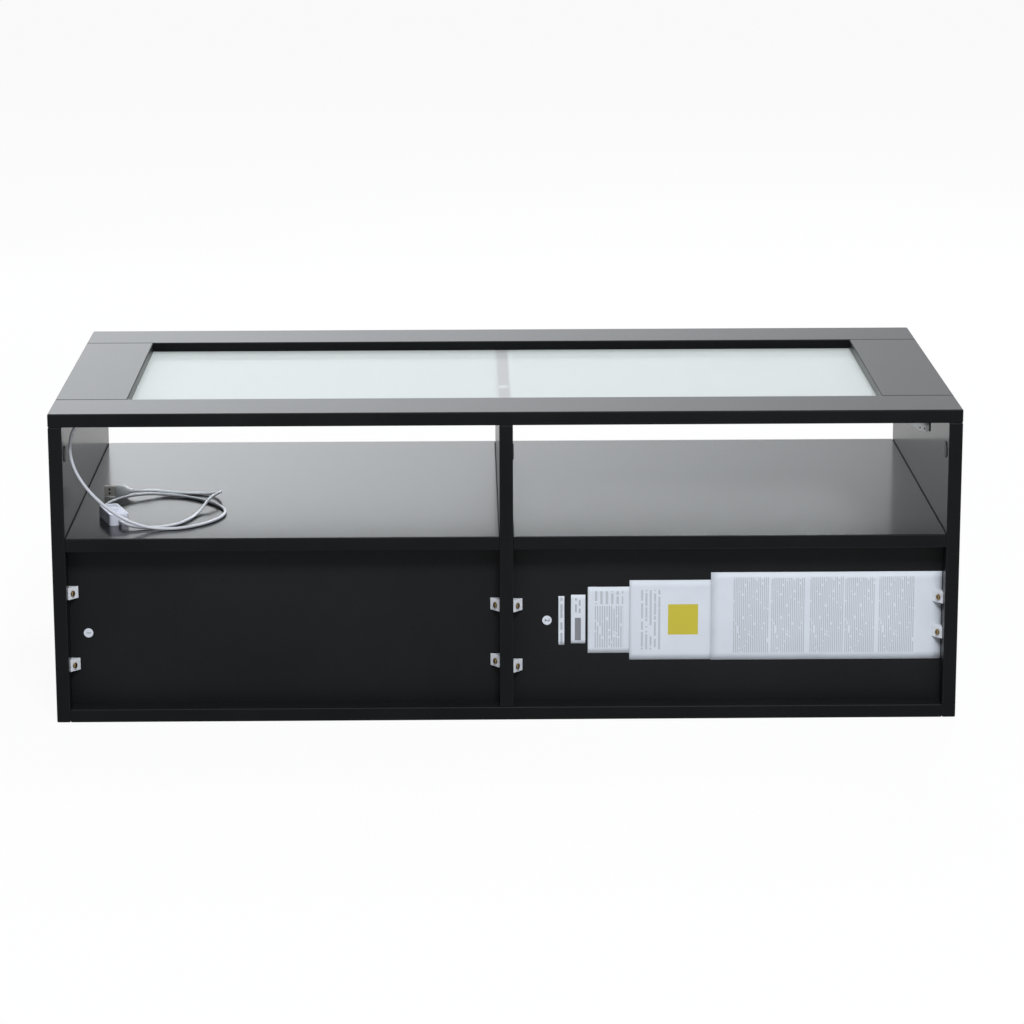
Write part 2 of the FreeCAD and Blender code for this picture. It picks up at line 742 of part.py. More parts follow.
# Clip: a plate that reaches under the glass, with its screw hole
clip_plate = box(
    "clip_plate",
    ("-clip_hold", "clip_wide - clip_hold"),
    ("-clip_long / 2", "clip_long / 2"),
    ("-clip_thickness", "0"),
)
clip_hole = doc.addObject("Part::Cylinder", "clip_hole")
clip_hole.setExpression("Radius", formula("screw_radius + fit_gap / 2"))
clip_hole.setExpression("Height", formula("2 * clip_thickness"))
clip_hole.setExpression("Placement.Base.x", formula("(clip_wide - clip_hold) / 2"))
clip_hole.setExpression("Placement.Base.z", formula("-1.5 * clip_thickness"))
clip = cut("clip", clip_plate, [clip_hole])
for frame_label, edge, outward in CLIPS:
    place("glass_clips", edge, Z, outward)
group_of("glass_clips", clip)

# Wedges: a three-sided block in the corner behind each back panel, bored for its screw
wedge_copies = []
for corner, into, seat, aim in WEDGE_PLACES:
    across = -into * length_of("wedge_across")
    along = -Y * length_of("wedge_along")
    tall = Z * length_of("wedge_tall")
    foot = corner - tall / 2
    outline = Part.makePolygon([foot, foot + across, foot + along, foot])
    block = Part.Face(outline).extrude(tall)
    block = block.makeFillet(length_of("edge_round"), block.Edges)
    bore = Part.makeCylinder(length_of("screw_radius + fit_gap / 2"), length_of("screw_long"), seat, aim)
    head_room = length_of("screw_head_radius + fit_gap")
    counterbore = Part.makeCylinder(head_room, length_of("screw_long"), seat, -aim)
    wedge_copies.append(block.cut(bore.fuse(counterbore)))
node("panel_wedges", feature("panel_wedges", Part.makeCompound(wedge_copies)))


# Drawers
def drawer_front(hand, sign):
    """Inset front with a scooped finger opening in its top edge and a groove for the bottom."""
    label = f"{hand}_drawer_front"
    across = span(sign, "divider_x + front_gap", "inner_x - front_gap")
    tall = ("board + front_gap", "deck_low - front_gap")
    middle = middle_of(sign, "(divider_x + inner_x) / 2")
    scoop = box(
        f"{label}_scoop",
        (f"{middle} - scoop_wide / 2", f"{middle} + scoop_wide / 2"),
        ("front_inner - board", "half_depth + board"),
        (f"{tall[1]} - scoop_deep", f"{tall[1]} + 2 * scoop_deep"),
    )
    doc.recompute()
    low = scoop.Shape.BoundBox.ZMin
    radius = length_of("scoop_round")
    rounded = doc.addObject("Part::Fillet", f"{label}_scoop_round")
    rounded.Base = scoop
    rounded.Edges = [
        (index, radius, radius)
        for index, edge in enumerate(scoop.Shape.Edges, start=1)
        if edge.BoundBox.ZMax < low + 1 and edge.BoundBox.YLength > 1
    ]
    groove = box(
        f"{label}_groove",
        span(sign, "divider_x + drawer_inside - drawer_groove", "inner_x - drawer_inside + drawer_groove"),
        ("front_inner", "front_inner + drawer_groove"),
        ("bottom_low - groove_gap", "bottom_high + groove_gap"),
    )
    board_with_holes(label, across, ("front_inner", "half_depth"), tall, [rounded, groove])


def drawer_side(hand, wall_name, wall, sign):
    """Side board with a groove along its inner face for the bottom."""
    label = drawer_side_label(hand, wall_name)
    along = ("drawer_back_y", "front_inner")
    groove = box(
        f"{label}_groove",
        from_wall(wall, sign, "drawer_inside - drawer_groove", "drawer_inside"),
        along,
        ("bottom_low - groove_gap", "bottom_high + groove_gap"),
    )
    across = from_wall(wall, sign, "slide_space", "drawer_inside")
    board_with_holes(label, across, along, ("drawer_low", "drawer_high"), [groove])


for hand, sign in HANDS.items():
    drawer_front(hand, sign)
    board_with_holes(
        f"{hand}_drawer_back",
        span(sign, "divider_x + drawer_inside", "inner_x - drawer_inside"),
        ("drawer_back_y", "drawer_back_y + board"),
        ("bottom_high + groove_gap", "drawer_high"),
    )
    in_groove = "drawer_inside - drawer_groove + groove_end_gap"
    node(f"{hand}_drawer_bottom", box(
        f"{hand}_drawer_bottom",
        span(sign, f"divider_x + {in_groove}", f"inner_x - ({in_groove})"),
        ("drawer_back_y", "front_inner + drawer_groove - groove_end_gap"),
        ("bottom_low", "bottom_high"),
    ))
for hand, wall_name, wall, sign in BAY_WALLS:
    drawer_side(hand, wall_name, wall, sign)


# Drawer slides: a channel on the wall, a narrower channel on the drawer, ball strips between their lips
def channel(name, x_web, x_lip, half_tall):
    """Channel with its web against one face and two lips."""
    along = ("slide_back", "slide_front")
    pieces = [box(f"{name}_web", x_web, along, (f"slide_z - ({half_tall})", f"slide_z + {half_tall}"))]
    for way in (-1, 1):
        low, high = span(way, f"{half_tall} - slide_metal", half_tall)
        pieces.append(box(f"{name}_lip", x_lip, along, (f"slide_z + {low}", f"slide_z + {high}")))
    return fuse(name, pieces)


def slide_holes(name, wall, sign, near, far, stagger):
    """Screw holes through the web of a channel."""
    holes = []
    for screw_y in SLIDE_SCREW_Y:
        low = from_wall(wall, sign, near, far)[0]
        start = point_at(low, f"{screw_y} - {stagger}", "slide_z")
        radius = length_of("screw_radius + fit_gap / 2")
        holes.append(Part.makeCylinder(radius, length_of(f"{far} - ({near})"), start, X))
    return feature(f"{name}_holes", Part.makeCompound(holes))


def ball_strip(name, wall, sign, way):
    """Flat retainer with a row of balls through it, between two lips."""
    strip_x = from_wall(wall, sign, "2 * slide_metal", "slide_space - 2 * slide_metal")
    middle = off_wall(wall, sign, "slide_space / 2")
    centre_z = f"slide_z + {middle_of(way, 'ball_z')}"
    strip = box(
        name + "_retainer",
        strip_x,
        ("slide_middle - ball_strip_long / 2", "slide_middle + ball_strip_long / 2"),
        (f"{centre_z} - ball_strip_thickness / 2", f"{centre_z} + ball_strip_thickness / 2"),
    )
    count = int(length_of("ball_strip_long") / length_of("ball_pitch"))
    pieces = [strip]
    for index in range(count):
        ball = doc.addObject("Part::Sphere", f"{name}_ball")
        ball.setExpression("Radius", formula("ball_radius"))
        centre_y = f"slide_middle + ball_pitch * {index - (count - 1) / 2}"
        for axis, text in zip("xyz", (middle, centre_y, centre_z)):
            ball.setExpression(f"Placement.Base.{axis}", formula(text))
        pieces.append(ball)
    return fuse(name, pieces)


def compound(label, pieces):
    """Node that groups separate solids of one kind."""
    grouped = doc.addObject("Part::Compound", label)
    grouped.Links = pieces
    return node(label, grouped)


outer_members = []
inner_members = {hand: [] for hand in HANDS}
ball_strips = {hand: [] for hand in HANDS}
for hand, wall_name, wall, sign in BAY_WALLS:
    name = f"{hand}_{wall_name}_outer"
    outer = channel(
        name,
        from_wall(wall, sign, "0", "slide_metal"),
        from_wall(wall, sign, "0", "slide_space - slide_lip_gap"),
        "slide_tall / 2",
    )
    outer_holes = slide_holes(name, wall, sign, "0", "slide_metal", SLIDE_STAGGER[hand])
    outer_members.append(cut(name + "_drilled", outer, [outer_holes]))
    name = f"{hand}_{wall_name}_inner"
    inner = channel(
        name,
        from_wall(wall, sign, "slide_space - slide_metal", "slide_space"),
        from_wall(wall, sign, "slide_lip_gap", "slide_space"),
        "inner_lip_z",
    )
    inner_holes = slide_holes(name, wall, sign, "slide_space - slide_metal", "slide_space", "0")
    inner_members[hand].append(cut(name + "_drilled", inner, [inner_holes]))
    for way, level in ((-1, "low"), (1, "high")):
        ball_strips[hand].append(ball_strip(f"{hand}_{wall_name}_{level}_balls", wall, sign, way))
compound("slide_outer_members", outer_members)
for hand in HANDS:
    compound(f"{hand}_drawer_inner_members", inner_members[hand])
    compound(f"{hand}_ball_strips", ball_strips[hand])


# Light strip under the rear rail: a flat tape whose loose end turns on edge and hangs
def tape_section(x, y, z, turn):
    """Cross-section of the tape at x, turned about its length by an angle in degrees."""
    half_wide = length_of("strip_wide / 2")
    half_thick = length_of("strip_thickness / 2")
    signs = [(-1, -1), (1, -1), (1, 1), (-1, 1)]
    spin = FreeCAD.Rotation(X, turn)
    middle = Vector(x, y, z)
    ring = [middle + spin.multVec(Vector(0, a * half_wide, b * half_thick)) for a, b in signs]
    return Part.makePolygon(ring + ring[:1])


strip_y = -length_of("strip_y")
strip_z = length_of("strip_low + strip_thickness / 2")
tail_z = length_of("rail_z - tail_drop + strip_wide / 2")
sections = [tape_section(-length_of("strip_start"), strip_y, strip_z, 0)]
TWIST_STEPS = 4
for step in range(TWIST_STEPS + 1):
    share = step / TWIST_STEPS
    drop = (1 - math.cos(math.pi * share)) / 2
    x = length_of("strip_end") + length_of("tail_twist") * share
    sections.append(tape_section(x, strip_y, strip_z + (tail_z - strip_z) * drop, -90 * share))
tail_x = length_of("strip_end + tail_long")
sections.append(tape_section(tail_x, strip_y + length_of("strip_wide / 4"), tail_z, -90))
node("led_strip", feature("led_strip", Part.makeLoft(sections, True, True)))

chip_pitch = length_of("chip_pitch")
chip_count = int((length_of("strip_start + strip_end - chip_size")) / chip_pitch)
chips = []
for index in range(chip_count):
    chip = box(
        "led_chip",
        (f"-strip_start + chip_pitch * {index + 0.5} - chip_size / 2",
         f"-strip_start + chip_pitch * {index + 0.5} + chip_size / 2"),
        ("-strip_y - chip_size / 2", "-strip_y + chip_size / 2"),
        ("strip_low - chip_thickness", "strip_low"),
    )
    chips.append(chip)
compound("led_chips", chips)
node("solder_cover", box(
    "solder_cover",
    ("-strip_start - solder_cover_long", "-strip_start"),
    ("-strip_y - solder_cover_wide / 2", "-strip_y + solder_cover_wide / 2"),
    ("rail_z - solder_cover_tall", "rail_z"),
))

# Inline switch on the left deck: its own X runs from the light's lead to the plug's lead
switch_angle = length_of("switch_turn") - 90
SWITCH_PLACE = FreeCAD.Placement(
    point_at("switch_from_wall - inner_x", "switch_from_rear - half_depth", "deck_height"),
    FreeCAD.Rotation(Z, switch_angle),
)


def rectangle(body, name, half_long, half_wide):
    """Sketch of a centred rectangle on the body's own ground plane."""
    planes = {plane.Role: plane for plane in body.Origin.OriginFeatures}
    sketch = body.newObject("Sketcher::SketchObject", name)
    sketch.AttachmentSupport = (planes["XY_Plane"], "")
    sketch.MapMode = "FlatFace"
    a, b = length_of(half_long), length_of(half_wide)
    corners = [Vector(-a, -b, 0), Vector(a, -b, 0), Vector(a, b, 0), Vector(-a, b, 0)]
    for index in range(4):
        sketch.addGeometry(Part.LineSegment(corners[index], corners[(index + 1) % 4]), False)
    for index in range(4):
        sketch.addConstraint(Sketcher.Constraint("Coincident", index, 2, (index + 1) % 4, 1))
        sketch.addConstraint(Sketcher.Constraint("Horizontal" if index % 2 == 0 else "Vertical", index))
    sketch.addConstraint(Sketcher.Constraint("Symmetric", 0, 1, 1, 2, -1, 1))
    for index, text in ((0, half_long), (1, half_wide)):
        constraint = sketch.addConstraint(Sketcher.Constraint("Distance", index, 2 * length_of(text)))
        sketch.setExpression(f"Constraints[{constraint}]", formula(f"2 * ({text})"))
    return sketch


def padded(body, sketch, name, text):
    """Pad of a sketch, upwards."""
    pad = body.newObject("PartDesign::Pad", name)
    pad.Profile = sketch
    pad.setExpression("Length", formula(text))
    return pad


def pocketed(body, sketch, name, text):
    """Pocket of a ground-plane sketch, upwards into the body."""
    pocket = body.newObject("PartDesign::Pocket", name)
    pocket.Profile = sketch
    pocket.Reversed = True
    pocket.setExpression("Length", formula(text))
    return pocket


TOUCH = 1e-6


def rounded_edges(body, base, name, text, keep):
    """Fillet of the base feature's edges that keep accepts."""
    doc.recompute()
    fillet = body.newObject("PartDesign::Fillet", name)
    names = [f"Edge{index}" for index, edge in enumerate(base.Shape.Edges, start=1) if keep(edge)]
    fillet.Base = (base, names)
    fillet.setExpression("Radius", formula(text))
    return fillet


def upright(edge):
    """Whether an edge runs straight up."""
    return edge.BoundBox.XLength < TOUCH and edge.BoundBox.YLength < TOUCH


def inner_upright(edge):
    """Whether an edge runs straight up at a corner of a shell's hollow."""
    corner_x = length_of("switch_long / 2 - switch_wall")
    corner_y = length_of("switch_wide / 2 - switch_wall")
    centre = edge.BoundBox.Center
    at_corner = abs(abs(centre.x) - corner_x) < TOUCH and abs(abs(centre.y) - corner_y) < TOUCH
    return upright(edge) and at_corner


def at_crown(edge):
    """Whether an edge lies on the top face of the upper shell."""
    return edge.BoundBox.ZMin > length_of("switch_upper_tall") - TOUCH


# both shells are cups: the lower one opens upwards, the upper one downwards with a hole for the button
lower = doc.addObject("PartDesign::Body", "switch_lower_shell")
outline = rectangle(lower, "lower_outline", "switch_long / 2", "switch_wide / 2")
block = padded(lower, outline, "lower_block", "switch_lower_tall")
block = rounded_edges(lower, block, "lower_round", "switch_round", upright)
hollow = rectangle(lower, "lower_hollow", "switch_long / 2 - switch_wall", "switch_wide / 2 - switch_wall")
hollow.setExpression("AttachmentOffset.Base.z", formula("switch_wall"))
block = pocketed(lower, hollow, "lower_pocket", "switch_lower_tall")
rounded_edges(lower, block, "lower_inner_round", "switch_round - switch_wall", inner_upright)
node("switch_lower_shell", lower)

upper = doc.addObject("PartDesign::Body", "switch_upper_shell")
outline = rectangle(upper, "upper_outline", "switch_long / 2", "switch_wide / 2")
block = padded(upper, outline, "upper_block", "switch_upper_tall")
block = rounded_edges(upper, block, "upper_round", "switch_round", upright)
block = rounded_edges(upper, block, "upper_crown", "switch_crown_round", at_crown)
hollow = rectangle(upper, "upper_hollow", "switch_long / 2 - switch_wall", "switch_wide / 2 - switch_wall")
block = pocketed(upper, hollow, "upper_pocket", "switch_upper_tall - switch_wall")
rounded_edges(upper, block, "upper_inner_round", "switch_round - switch_wall", inner_upright)
mouth = rectangle(upper, "button_mouth", "button_long / 2 + button_gap", "button_wide / 2 + button_gap")
pocketed(upper, mouth, "button_hole", "2 * switch_tall")
node("switch_upper_shell", upper)
doc.recompute()
lower.Placement = SWITCH_PLACE
raised = FreeCAD.Placement(Z * length_of("switch_lower_tall"), FreeCAD.Rotation())
upper.Placement = SWITCH_PLACE.multiply(raised)


def centred(half):
    """Low and high text of a stretch about the middle."""
    return f"-({half})", half


button_cap = box(
    "button_cap",
    centred("button_long / 2"),
    centred("button_wide / 2"),
    ("flange_top", "switch_tall + button_proud"),
)
button_flange = box(
    "button_flange",
    centred("button_long / 2 + button_flange"),
    centred("button_wide / 2 + button_flange"),
    ("flange_low", "flange_top"),
)
button_stem = box(
    "button_stem",
    centred("contact_size / 4"),
    centred("contact_size / 4"),
    ("flange_low - button_stem", "flange_low"),
)
button = node("switch_button", fuse("switch_button", [button_cap, button_flange, button_stem]))
circuit = node("switch_circuit_board", fuse("switch_circuit_board", [
    box(
        "circuit_plate",
        centred("switch_long / 2 - switch_wall - circuit_end_room"),
        centred("switch_wide / 2 - switch_wall - circuit_side_room"),
        ("switch_wall", "circuit_top"),
    ),
    box(
        "circuit_contact",
        centred("contact_size / 2"),
        centred("contact_size / 2"),
        ("circuit_top", "contact_top"),
    ),
]))
button.Placement = SWITCH_PLACE
circuit.Placement = SWITCH_PLACE

# USB plug, on its narrow edge on the left deck
PLUG_Y = ("plug_y - shell_thick / 2", "plug_y + shell_thick / 2")
PLUG_Z = ("plug_z - shell_wide / 2", "plug_z + shell_wide / 2")
shell_block = box("usb_shell_block", ("plug_tip_x", "grip_x"), PLUG_Y, PLUG_Z)
shell_hollow = box(
    "usb_shell_hollow",
    ("plug_tip_x - shell_metal", "grip_x + shell_metal"),
    (f"{PLUG_Y[0]} + shell_metal", f"{PLUG_Y[1]} - shell_metal"),
    (f"{PLUG_Z[0]} + shell_metal", f"{PLUG_Z[1]} - shell_metal"),
)
shell_cuts = [shell_hollow]
for way in (-1, 1):
    low, high = span(way, "window_from_middle - window_wide / 2", "window_from_middle + window_wide / 2")
    shell_cuts.append(box(
        "usb_shell_window",
        ("plug_tip_x + window_from_tip", "plug_tip_x + window_from_tip + window_long"),
        (f"{PLUG_Y[0]} - shell_metal", f"{PLUG_Y[1]} + shell_metal"),
        (f"plug_z + {low}", f"plug_z + {high}"),
    ))
node("usb_shell", cut("usb_shell", shell_block, shell_cuts))
node("usb_tongue", box(
    "usb_tongue",
    ("plug_tip_x + tongue_short", "grip_x"),
    (f"{PLUG_Y[1]} - shell_metal - tongue_thick", f"{PLUG_Y[1]} - shell_metal"),
    (f"{PLUG_Z[0]} + shell_metal", f"{PLUG_Z[1]} - shell_metal"),
))
grip = box(
    "usb_grip",
    ("grip_x", "taper_x"),
    ("plug_y - grip_thick / 2", "plug_y + grip_thick / 2"),
    ("plug_z - grip_wide / 2", "plug_z + grip_wide / 2"),
)
taper = doc.addObject("Part::Wedge", "usb_taper")
for name, text in {
    "Xmin": "-grip_thick / 2",
    "Xmax": "grip_thick / 2",
    "Zmin": "-grip_wide / 2",
    "Zmax": "grip_wide / 2",
    "Ymin": "0 * taper_long",
    "Ymax": "taper_long",
    "X2min": "-taper_size / 2",
    "X2max": "taper_size / 2",
    "Z2min": "-taper_size / 2",
    "Z2max": "taper_size / 2",
}.items():
    taper.setExpression(name, formula(text))
taper.Placement = FreeCAD.Placement(Vector(), FreeCAD.Rotation(Z, -90))
relief = doc.addObject("Part::Cone", "usb_relief")
relief.setExpression("Radius1", formula("taper_size / 2"))
relief.setExpression("Radius2", formula("relief_end_radius"))
relief.setExpression("Height", formula("relief_long"))
relief.Placement = FreeCAD.Placement(Vector(), FreeCAD.Rotation(Y, 90))
for piece, start in ((taper, "taper_x"), (relief, "relief_x")):
    for axis, text in zip("xyz", (start, "plug_y", "plug_z")):
        piece.setExpression(f"Placement.Base.{axis}", formula(text))
node("usb_overmould", fuse("usb_overmould", [grip, taper, relief]))

# Leads: straight runs joined by tangent arcs, through points chosen along the real lie of each lead
RUN_SHARE = 0.45


def lead(label, points):
    """Round tube along a route of points, with an arc as large as the runs allow at each point."""
    edges = []
    radii = []
    start = points[0]
    for last, point, following in zip(points, points[1:], points[2:]):
        before = point - last
        after = following - point
        setback = RUN_SHARE * min(before.Length, after.Length)
        half_turn = before.getAngle(after) / 2
        radius = setback / math.tan(half_turn)
        inward = Vector(after).normalize() - Vector(before).normalize()
        into = point - Vector(before).normalize() * setback
        out = point + Vector(after).normalize() * setback
        crown = point + inward.normalize() * (radius / math.cos(half_turn) - radius)
        edges.append(Part.LineSegment(start, into).toShape())
        edges.append(Part.Arc(into, crown, out).toShape())
        radii.append(radius)
        start = out
    edges.append(Part.LineSegment(start, points[-1]).toShape())
    path = Part.Wire(edges)
    section = length_of("lead_radius")
    ring = Part.Wire(Part.Circle(points[0], points[1] - points[0], section).toShape())
    tube = path.makePipeShell([ring], True, True)
    share = tube.Volume / (math.pi * section ** 2 * path.Length)
    print(label, f"length {path.Length:.1f}, volume over section times length {share:.4f}")
    print(label, "radii", *map(round, radii))
    node(label, feature(label, tube))


# Points are measured from the left bay's rear corner: rightwards, forwards, and down from the rail or
# up from the deck
under_rail = point_at("-inner_x", "-half_depth", "rail_z")
on_deck = point_at("-inner_x", "-half_depth", "deck_height")
laid = length_of("lead_radius")
half_switch = length_of("switch_long / 2")


def switch_port(along):
    """Point on the switch's long axis at port height, along it from its middle."""
    return SWITCH_PLACE.multVec(Vector(along, 0, length_of("port_height")))


strip_exit = point_at("-strip_start - solder_cover_long", "-strip_y", "rail_z - solder_cover_tall / 2")
lead("led_lead", [
    strip_exit,
    strip_exit - X * 8.5,
    under_rail + Vector(12.7, 37.5, -5.2),
    under_rail + Vector(7.6, 36.5, -12.5),
    under_rail + Vector(5, 35.5, -24),
    under_rail + Vector(4.8, 34.5, -36),
    under_rail + Vector(7.5, 33.5, -49),
    under_rail + Vector(14.2, 32.5, -64),
    on_deck + Vector(26, 32, 44.5),
    on_deck + Vector(42, 32.5, 28.5),
    on_deck + Vector(61.5, 34, 14),
    on_deck + Vector(82, 36, 5),
    on_deck + Vector(103, 37.5, laid),
    on_deck + Vector(124, 41, laid),
    on_deck + Vector(143.5, 56, laid),
    on_deck + Vector(159.5, 78, laid),
    on_deck + Vector(168, 102.5, laid),
    on_deck + Vector(168.5, 126, laid),
    on_deck + Vector(161, 148.5, laid),
    on_deck + Vector(148, 167.5, laid),
    on_deck + Vector(133.5, 183.5, laid),
    on_deck + Vector(118.5, 195.5, laid),
    on_deck + Vector(104, 202.5, 2.3),
    on_deck + Vector(89, 204.5, 3),
    on_deck + Vector(76, 202, 4),
    on_deck + Vector(64, 195.5, 4.7),
    on_deck + Vector(52, 185, 5),
    on_deck + Vector(42, 171, 5.2),
    on_deck + Vector(34.5, 155, 5.2),
    on_deck + Vector(31.2, 140, 5.2),
    switch_port(-half_switch - 13),
    switch_port(-half_switch),
])
plug_end = point_at("relief_end_x", "plug_y", "plug_z")
lead("usb_lead", [
    switch_port(half_switch),
    switch_port(half_switch + 9),
    on_deck + Vector(63, 48.5, 4.6),
    on_deck + Vector(72, 44.5, 3.2),
    on_deck + Vector(83, 44, 2),
    on_deck + Vector(96, 46, laid),
    on_deck + Vector(109.5, 52, laid),
    on_deck + Vector(121, 64, laid),
    on_deck + Vector(129, 81, laid),
    on_deck + Vector(135, 100, laid),
    on_deck + Vector(139.5, 119, 2.5),
    on_deck + Vector(143.5, 136, 5.5),
    on_deck + Vector(147.5, 151, 9),
    on_deck + Vector(152, 165.5, 9.2),
    on_deck + Vector(156.5, 179, 6.3),
    on_deck + Vector(159, 191.5, 3),
    on_deck + Vector(156.5, 202, laid),
    on_deck + Vector(148, 208.5, laid),
    on_deck + Vector(136, 211.5, laid),
    on_deck + Vector(122, 213, laid),
    on_deck + Vector(107, 214, 2),
    on_deck + Vector(94, 214.5, 3.3),
    on_deck + Vector(83, 213, 5.2),
    on_deck + Vector(74, 208, 6.6),
    plug_end + X * 8.5,
    plug_end,
])

# Every object and every sub-part is tested before any file is written
doc.recompute()
for item in doc.Objects:
    if "Invalid" in item.State or "Error" in item.State:
        raise RuntimeError(f"{item.Label} failed: {item.State}")
for label, piece in nodes.items():
    if piece.Shape.isNull() or not piece.Shape.isValid():
        raise RuntimeError(f"{label} has no valid shape")
os.makedirs("parts", exist_ok=True)
for label, piece in nodes.items():
    piece.Shape.exportStep(f"parts/{label}.step")
    print(label, len(piece.Shape.Solids), f"{piece.Shape.Volume:.1f}")
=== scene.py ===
import math

import bmesh
import bpy
from mathutils import Matrix, Vector


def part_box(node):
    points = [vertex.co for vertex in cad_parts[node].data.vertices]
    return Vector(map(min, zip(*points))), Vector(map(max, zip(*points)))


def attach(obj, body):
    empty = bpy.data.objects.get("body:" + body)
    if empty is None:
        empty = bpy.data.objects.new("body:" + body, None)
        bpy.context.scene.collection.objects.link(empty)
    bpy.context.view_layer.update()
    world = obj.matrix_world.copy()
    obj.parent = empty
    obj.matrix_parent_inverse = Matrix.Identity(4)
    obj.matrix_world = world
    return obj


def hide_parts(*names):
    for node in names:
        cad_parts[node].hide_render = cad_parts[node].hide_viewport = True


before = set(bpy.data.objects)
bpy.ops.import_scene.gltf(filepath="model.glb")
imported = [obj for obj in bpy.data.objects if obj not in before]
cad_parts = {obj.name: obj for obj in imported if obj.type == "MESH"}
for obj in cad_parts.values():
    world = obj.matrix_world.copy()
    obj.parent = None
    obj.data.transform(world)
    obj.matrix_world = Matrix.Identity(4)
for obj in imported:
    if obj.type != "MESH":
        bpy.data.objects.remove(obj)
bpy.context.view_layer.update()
scene = bpy.context.scene
scene.view_settings.view_transform = "Standard"

# Camera: a long lens about four metres behind the table and a metre above its floor, looking a little
# down on the open rear, so that the top, both bays and the back panels all show.
PICTURE = 1024
FOCAL_PIXELS = 3515.8
SENSOR_WIDE, FAR_CLIP = 36, 200
CAMERA_PLACE = (-0.0441, -4.0050, 1.1307)
YAW, PITCH, ROLL = 0.0134, 0.2334, -0.0025
camera_lens = bpy.data.cameras.new("camera")
camera_lens.sensor_width = SENSOR_WIDE
camera_lens.lens = FOCAL_PIXELS / PICTURE * SENSOR_WIDE
camera_lens.clip_end = FAR_CLIP
camera = bpy.data.objects.new("camera", camera_lens)
camera.matrix_world = (
    Matrix.Translation(CAMERA_PLACE)
    @ Matrix.Rotation(-YAW, 4, "Z")
    @ Matrix.Rotation(math.pi / 2 - PITCH, 4, "X")
    @ Matrix.Rotation(ROLL, 4, "Z")
)
scene.collection.objects.link(camera)
scene.camera = camera


# Floor: a seamless pale studio floor that runs far out behind the table. It is white to the eye and in
# reflections, keeps the table's soft shadow, and throws back light as matt white paper does.
def plug(tree, value, socket):
    """Feeds a socket from another socket, or sets it to a plain value."""
    if isinstance(value, bpy.types.NodeSocket):
        tree.links.new(value, socket)
    else:
        socket.default_value = value


def add(tree, kind, **inputs):
    """Shader node with its inputs fed or set; an underscore in a name stands for a space."""
    made = tree.nodes.new("ShaderNode" + kind)
    for name, value in inputs.items():
        plug(tree, value, made.inputs[name.replace("_", " ")])
    return made


def worked(tree, operation, *values):
    """Result of a Math node."""
    made = tree.nodes.new("ShaderNodeMath")
    made.operation = operation
    for value, socket in zip(values, made.inputs):
        plug(tree, value, socket)
    return made.outputs[0]


def shown_to(tree, *rays):
    """Mask of the kinds of rays that are named, such as Camera or Glossy."""
    path = add(tree, "LightPath")
    mask = path.outputs[f"Is {rays[0]} Ray"]
    for ray in rays[1:]:
        mask = worked(tree, "MAXIMUM", mask, path.outputs[f"Is {ray} Ray"])
    return mask


def put_on_show(name, shape):
    """Object made from a finished bmesh."""
    mesh = bpy.data.meshes.new(name)
    shape.to_mesh(mesh)
    shape.free()
    made = bpy.data.objects.new(name, mesh)
    scene.collection.objects.link(made)
    return made


FLOOR_REACH, FLOOR_DROP = 40, 0.0004
FLOOR_TONE, FULL_WHITE = (0.82, 0.82, 0.82, 1), (1, 1, 1, 1)
GLOW_SHARE = 0.94
shape = bmesh.new()
bmesh.ops.create_grid(shape, x_segments=1, y_segments=1, size=FLOOR_REACH)
bmesh.ops.translate(shape, verts=shape.verts, vec=(0, 0, -FLOOR_DROP))
floor = put_on_show("floor", shape)
floor_white = bpy.data.materials.new("floor_white")
floor_white.use_nodes = True
tree = floor_white.node_tree
tree.nodes.clear()
paper = add(tree, "BsdfDiffuse", Color=FLOOR_TONE)
glow = add(tree, "Emission", Color=FULL_WHITE, Strength=1)
lit = add(tree, "MixShader")
backdrop = shown_to(tree, "Camera", "Glossy", "Transmission")
plug(tree, worked(tree, "MULTIPLY", backdrop, GLOW_SHARE), lit.inputs[0])
plug(tree, paper.outputs[0], lit.inputs[1])
plug(tree, glow.outputs[0], lit.inputs[2])
plug(tree, lit.outputs[0], add(tree, "OutputMaterial").inputs["Surface"])
floor.data.materials.append(floor_white)


# Studio light: an even, slightly cool white room, one wide soft panel that stands upright beyond the table
# and two soft boxes, high up behind it and before it. The panel is brightest at its left end, so that the
# sheen on the flat boards fades to the right. The rear box lights what stands inside the bays, and the
# front box, which reflections leave out, lights the drawer fronts.
def ranged(tree, value, low, high, start=0.0, end=1.0):
    """Value spread from start-to-end over low-to-high, and held at its ends."""
    made = tree.nodes.new("ShaderNodeMapRange")
    for given, socket in zip((value, start, end, low, high), made.inputs):
        plug(tree, given, socket)
    return made.outputs[0]


ROOM_STRENGTH, MIRRORED_STRENGTH = 0.22, 0.9
ROOM_TINT, BOX_TINT = (0.94, 0.97, 1), (0.95, 0.97, 1)
BOX_SIDE, BOX_AIM = 1.1, Vector((0, 0, 0.2))
REAR_BOX, REAR_STRENGTH = (0.4, -3.4, 3.6), 50.0
FRONT_BOX, FRONT_STRENGTH = (1.0, 3.2, 2.9), 26.0
PANEL_WIDE, PANEL_TALL, PANEL_PLACE = 3.6, 1.5, (-0.8, 3.1, 1.1)
PANEL_LEFT_STRENGTH, PANEL_RIGHT_STRENGTH = 1.3, 0.0
PANEL_FADE_START, PANEL_FADE_END = -0.9, 0.9
room = bpy.data.worlds.new("room")
scene.world = room
room.use_nodes = True
tree = room.node_tree
tree.nodes.clear()
room_light = ranged(tree, shown_to(tree, "Glossy"), ROOM_STRENGTH, MIRRORED_STRENGTH)
fill = add(tree, "Background", Color=(*ROOM_TINT, 1), Strength=room_light)
white = add(tree, "Background", Color=FULL_WHITE, Strength=1)
lit = add(tree, "MixShader")
plug(tree, shown_to(tree, "Camera", "Transmission"), lit.inputs[0])
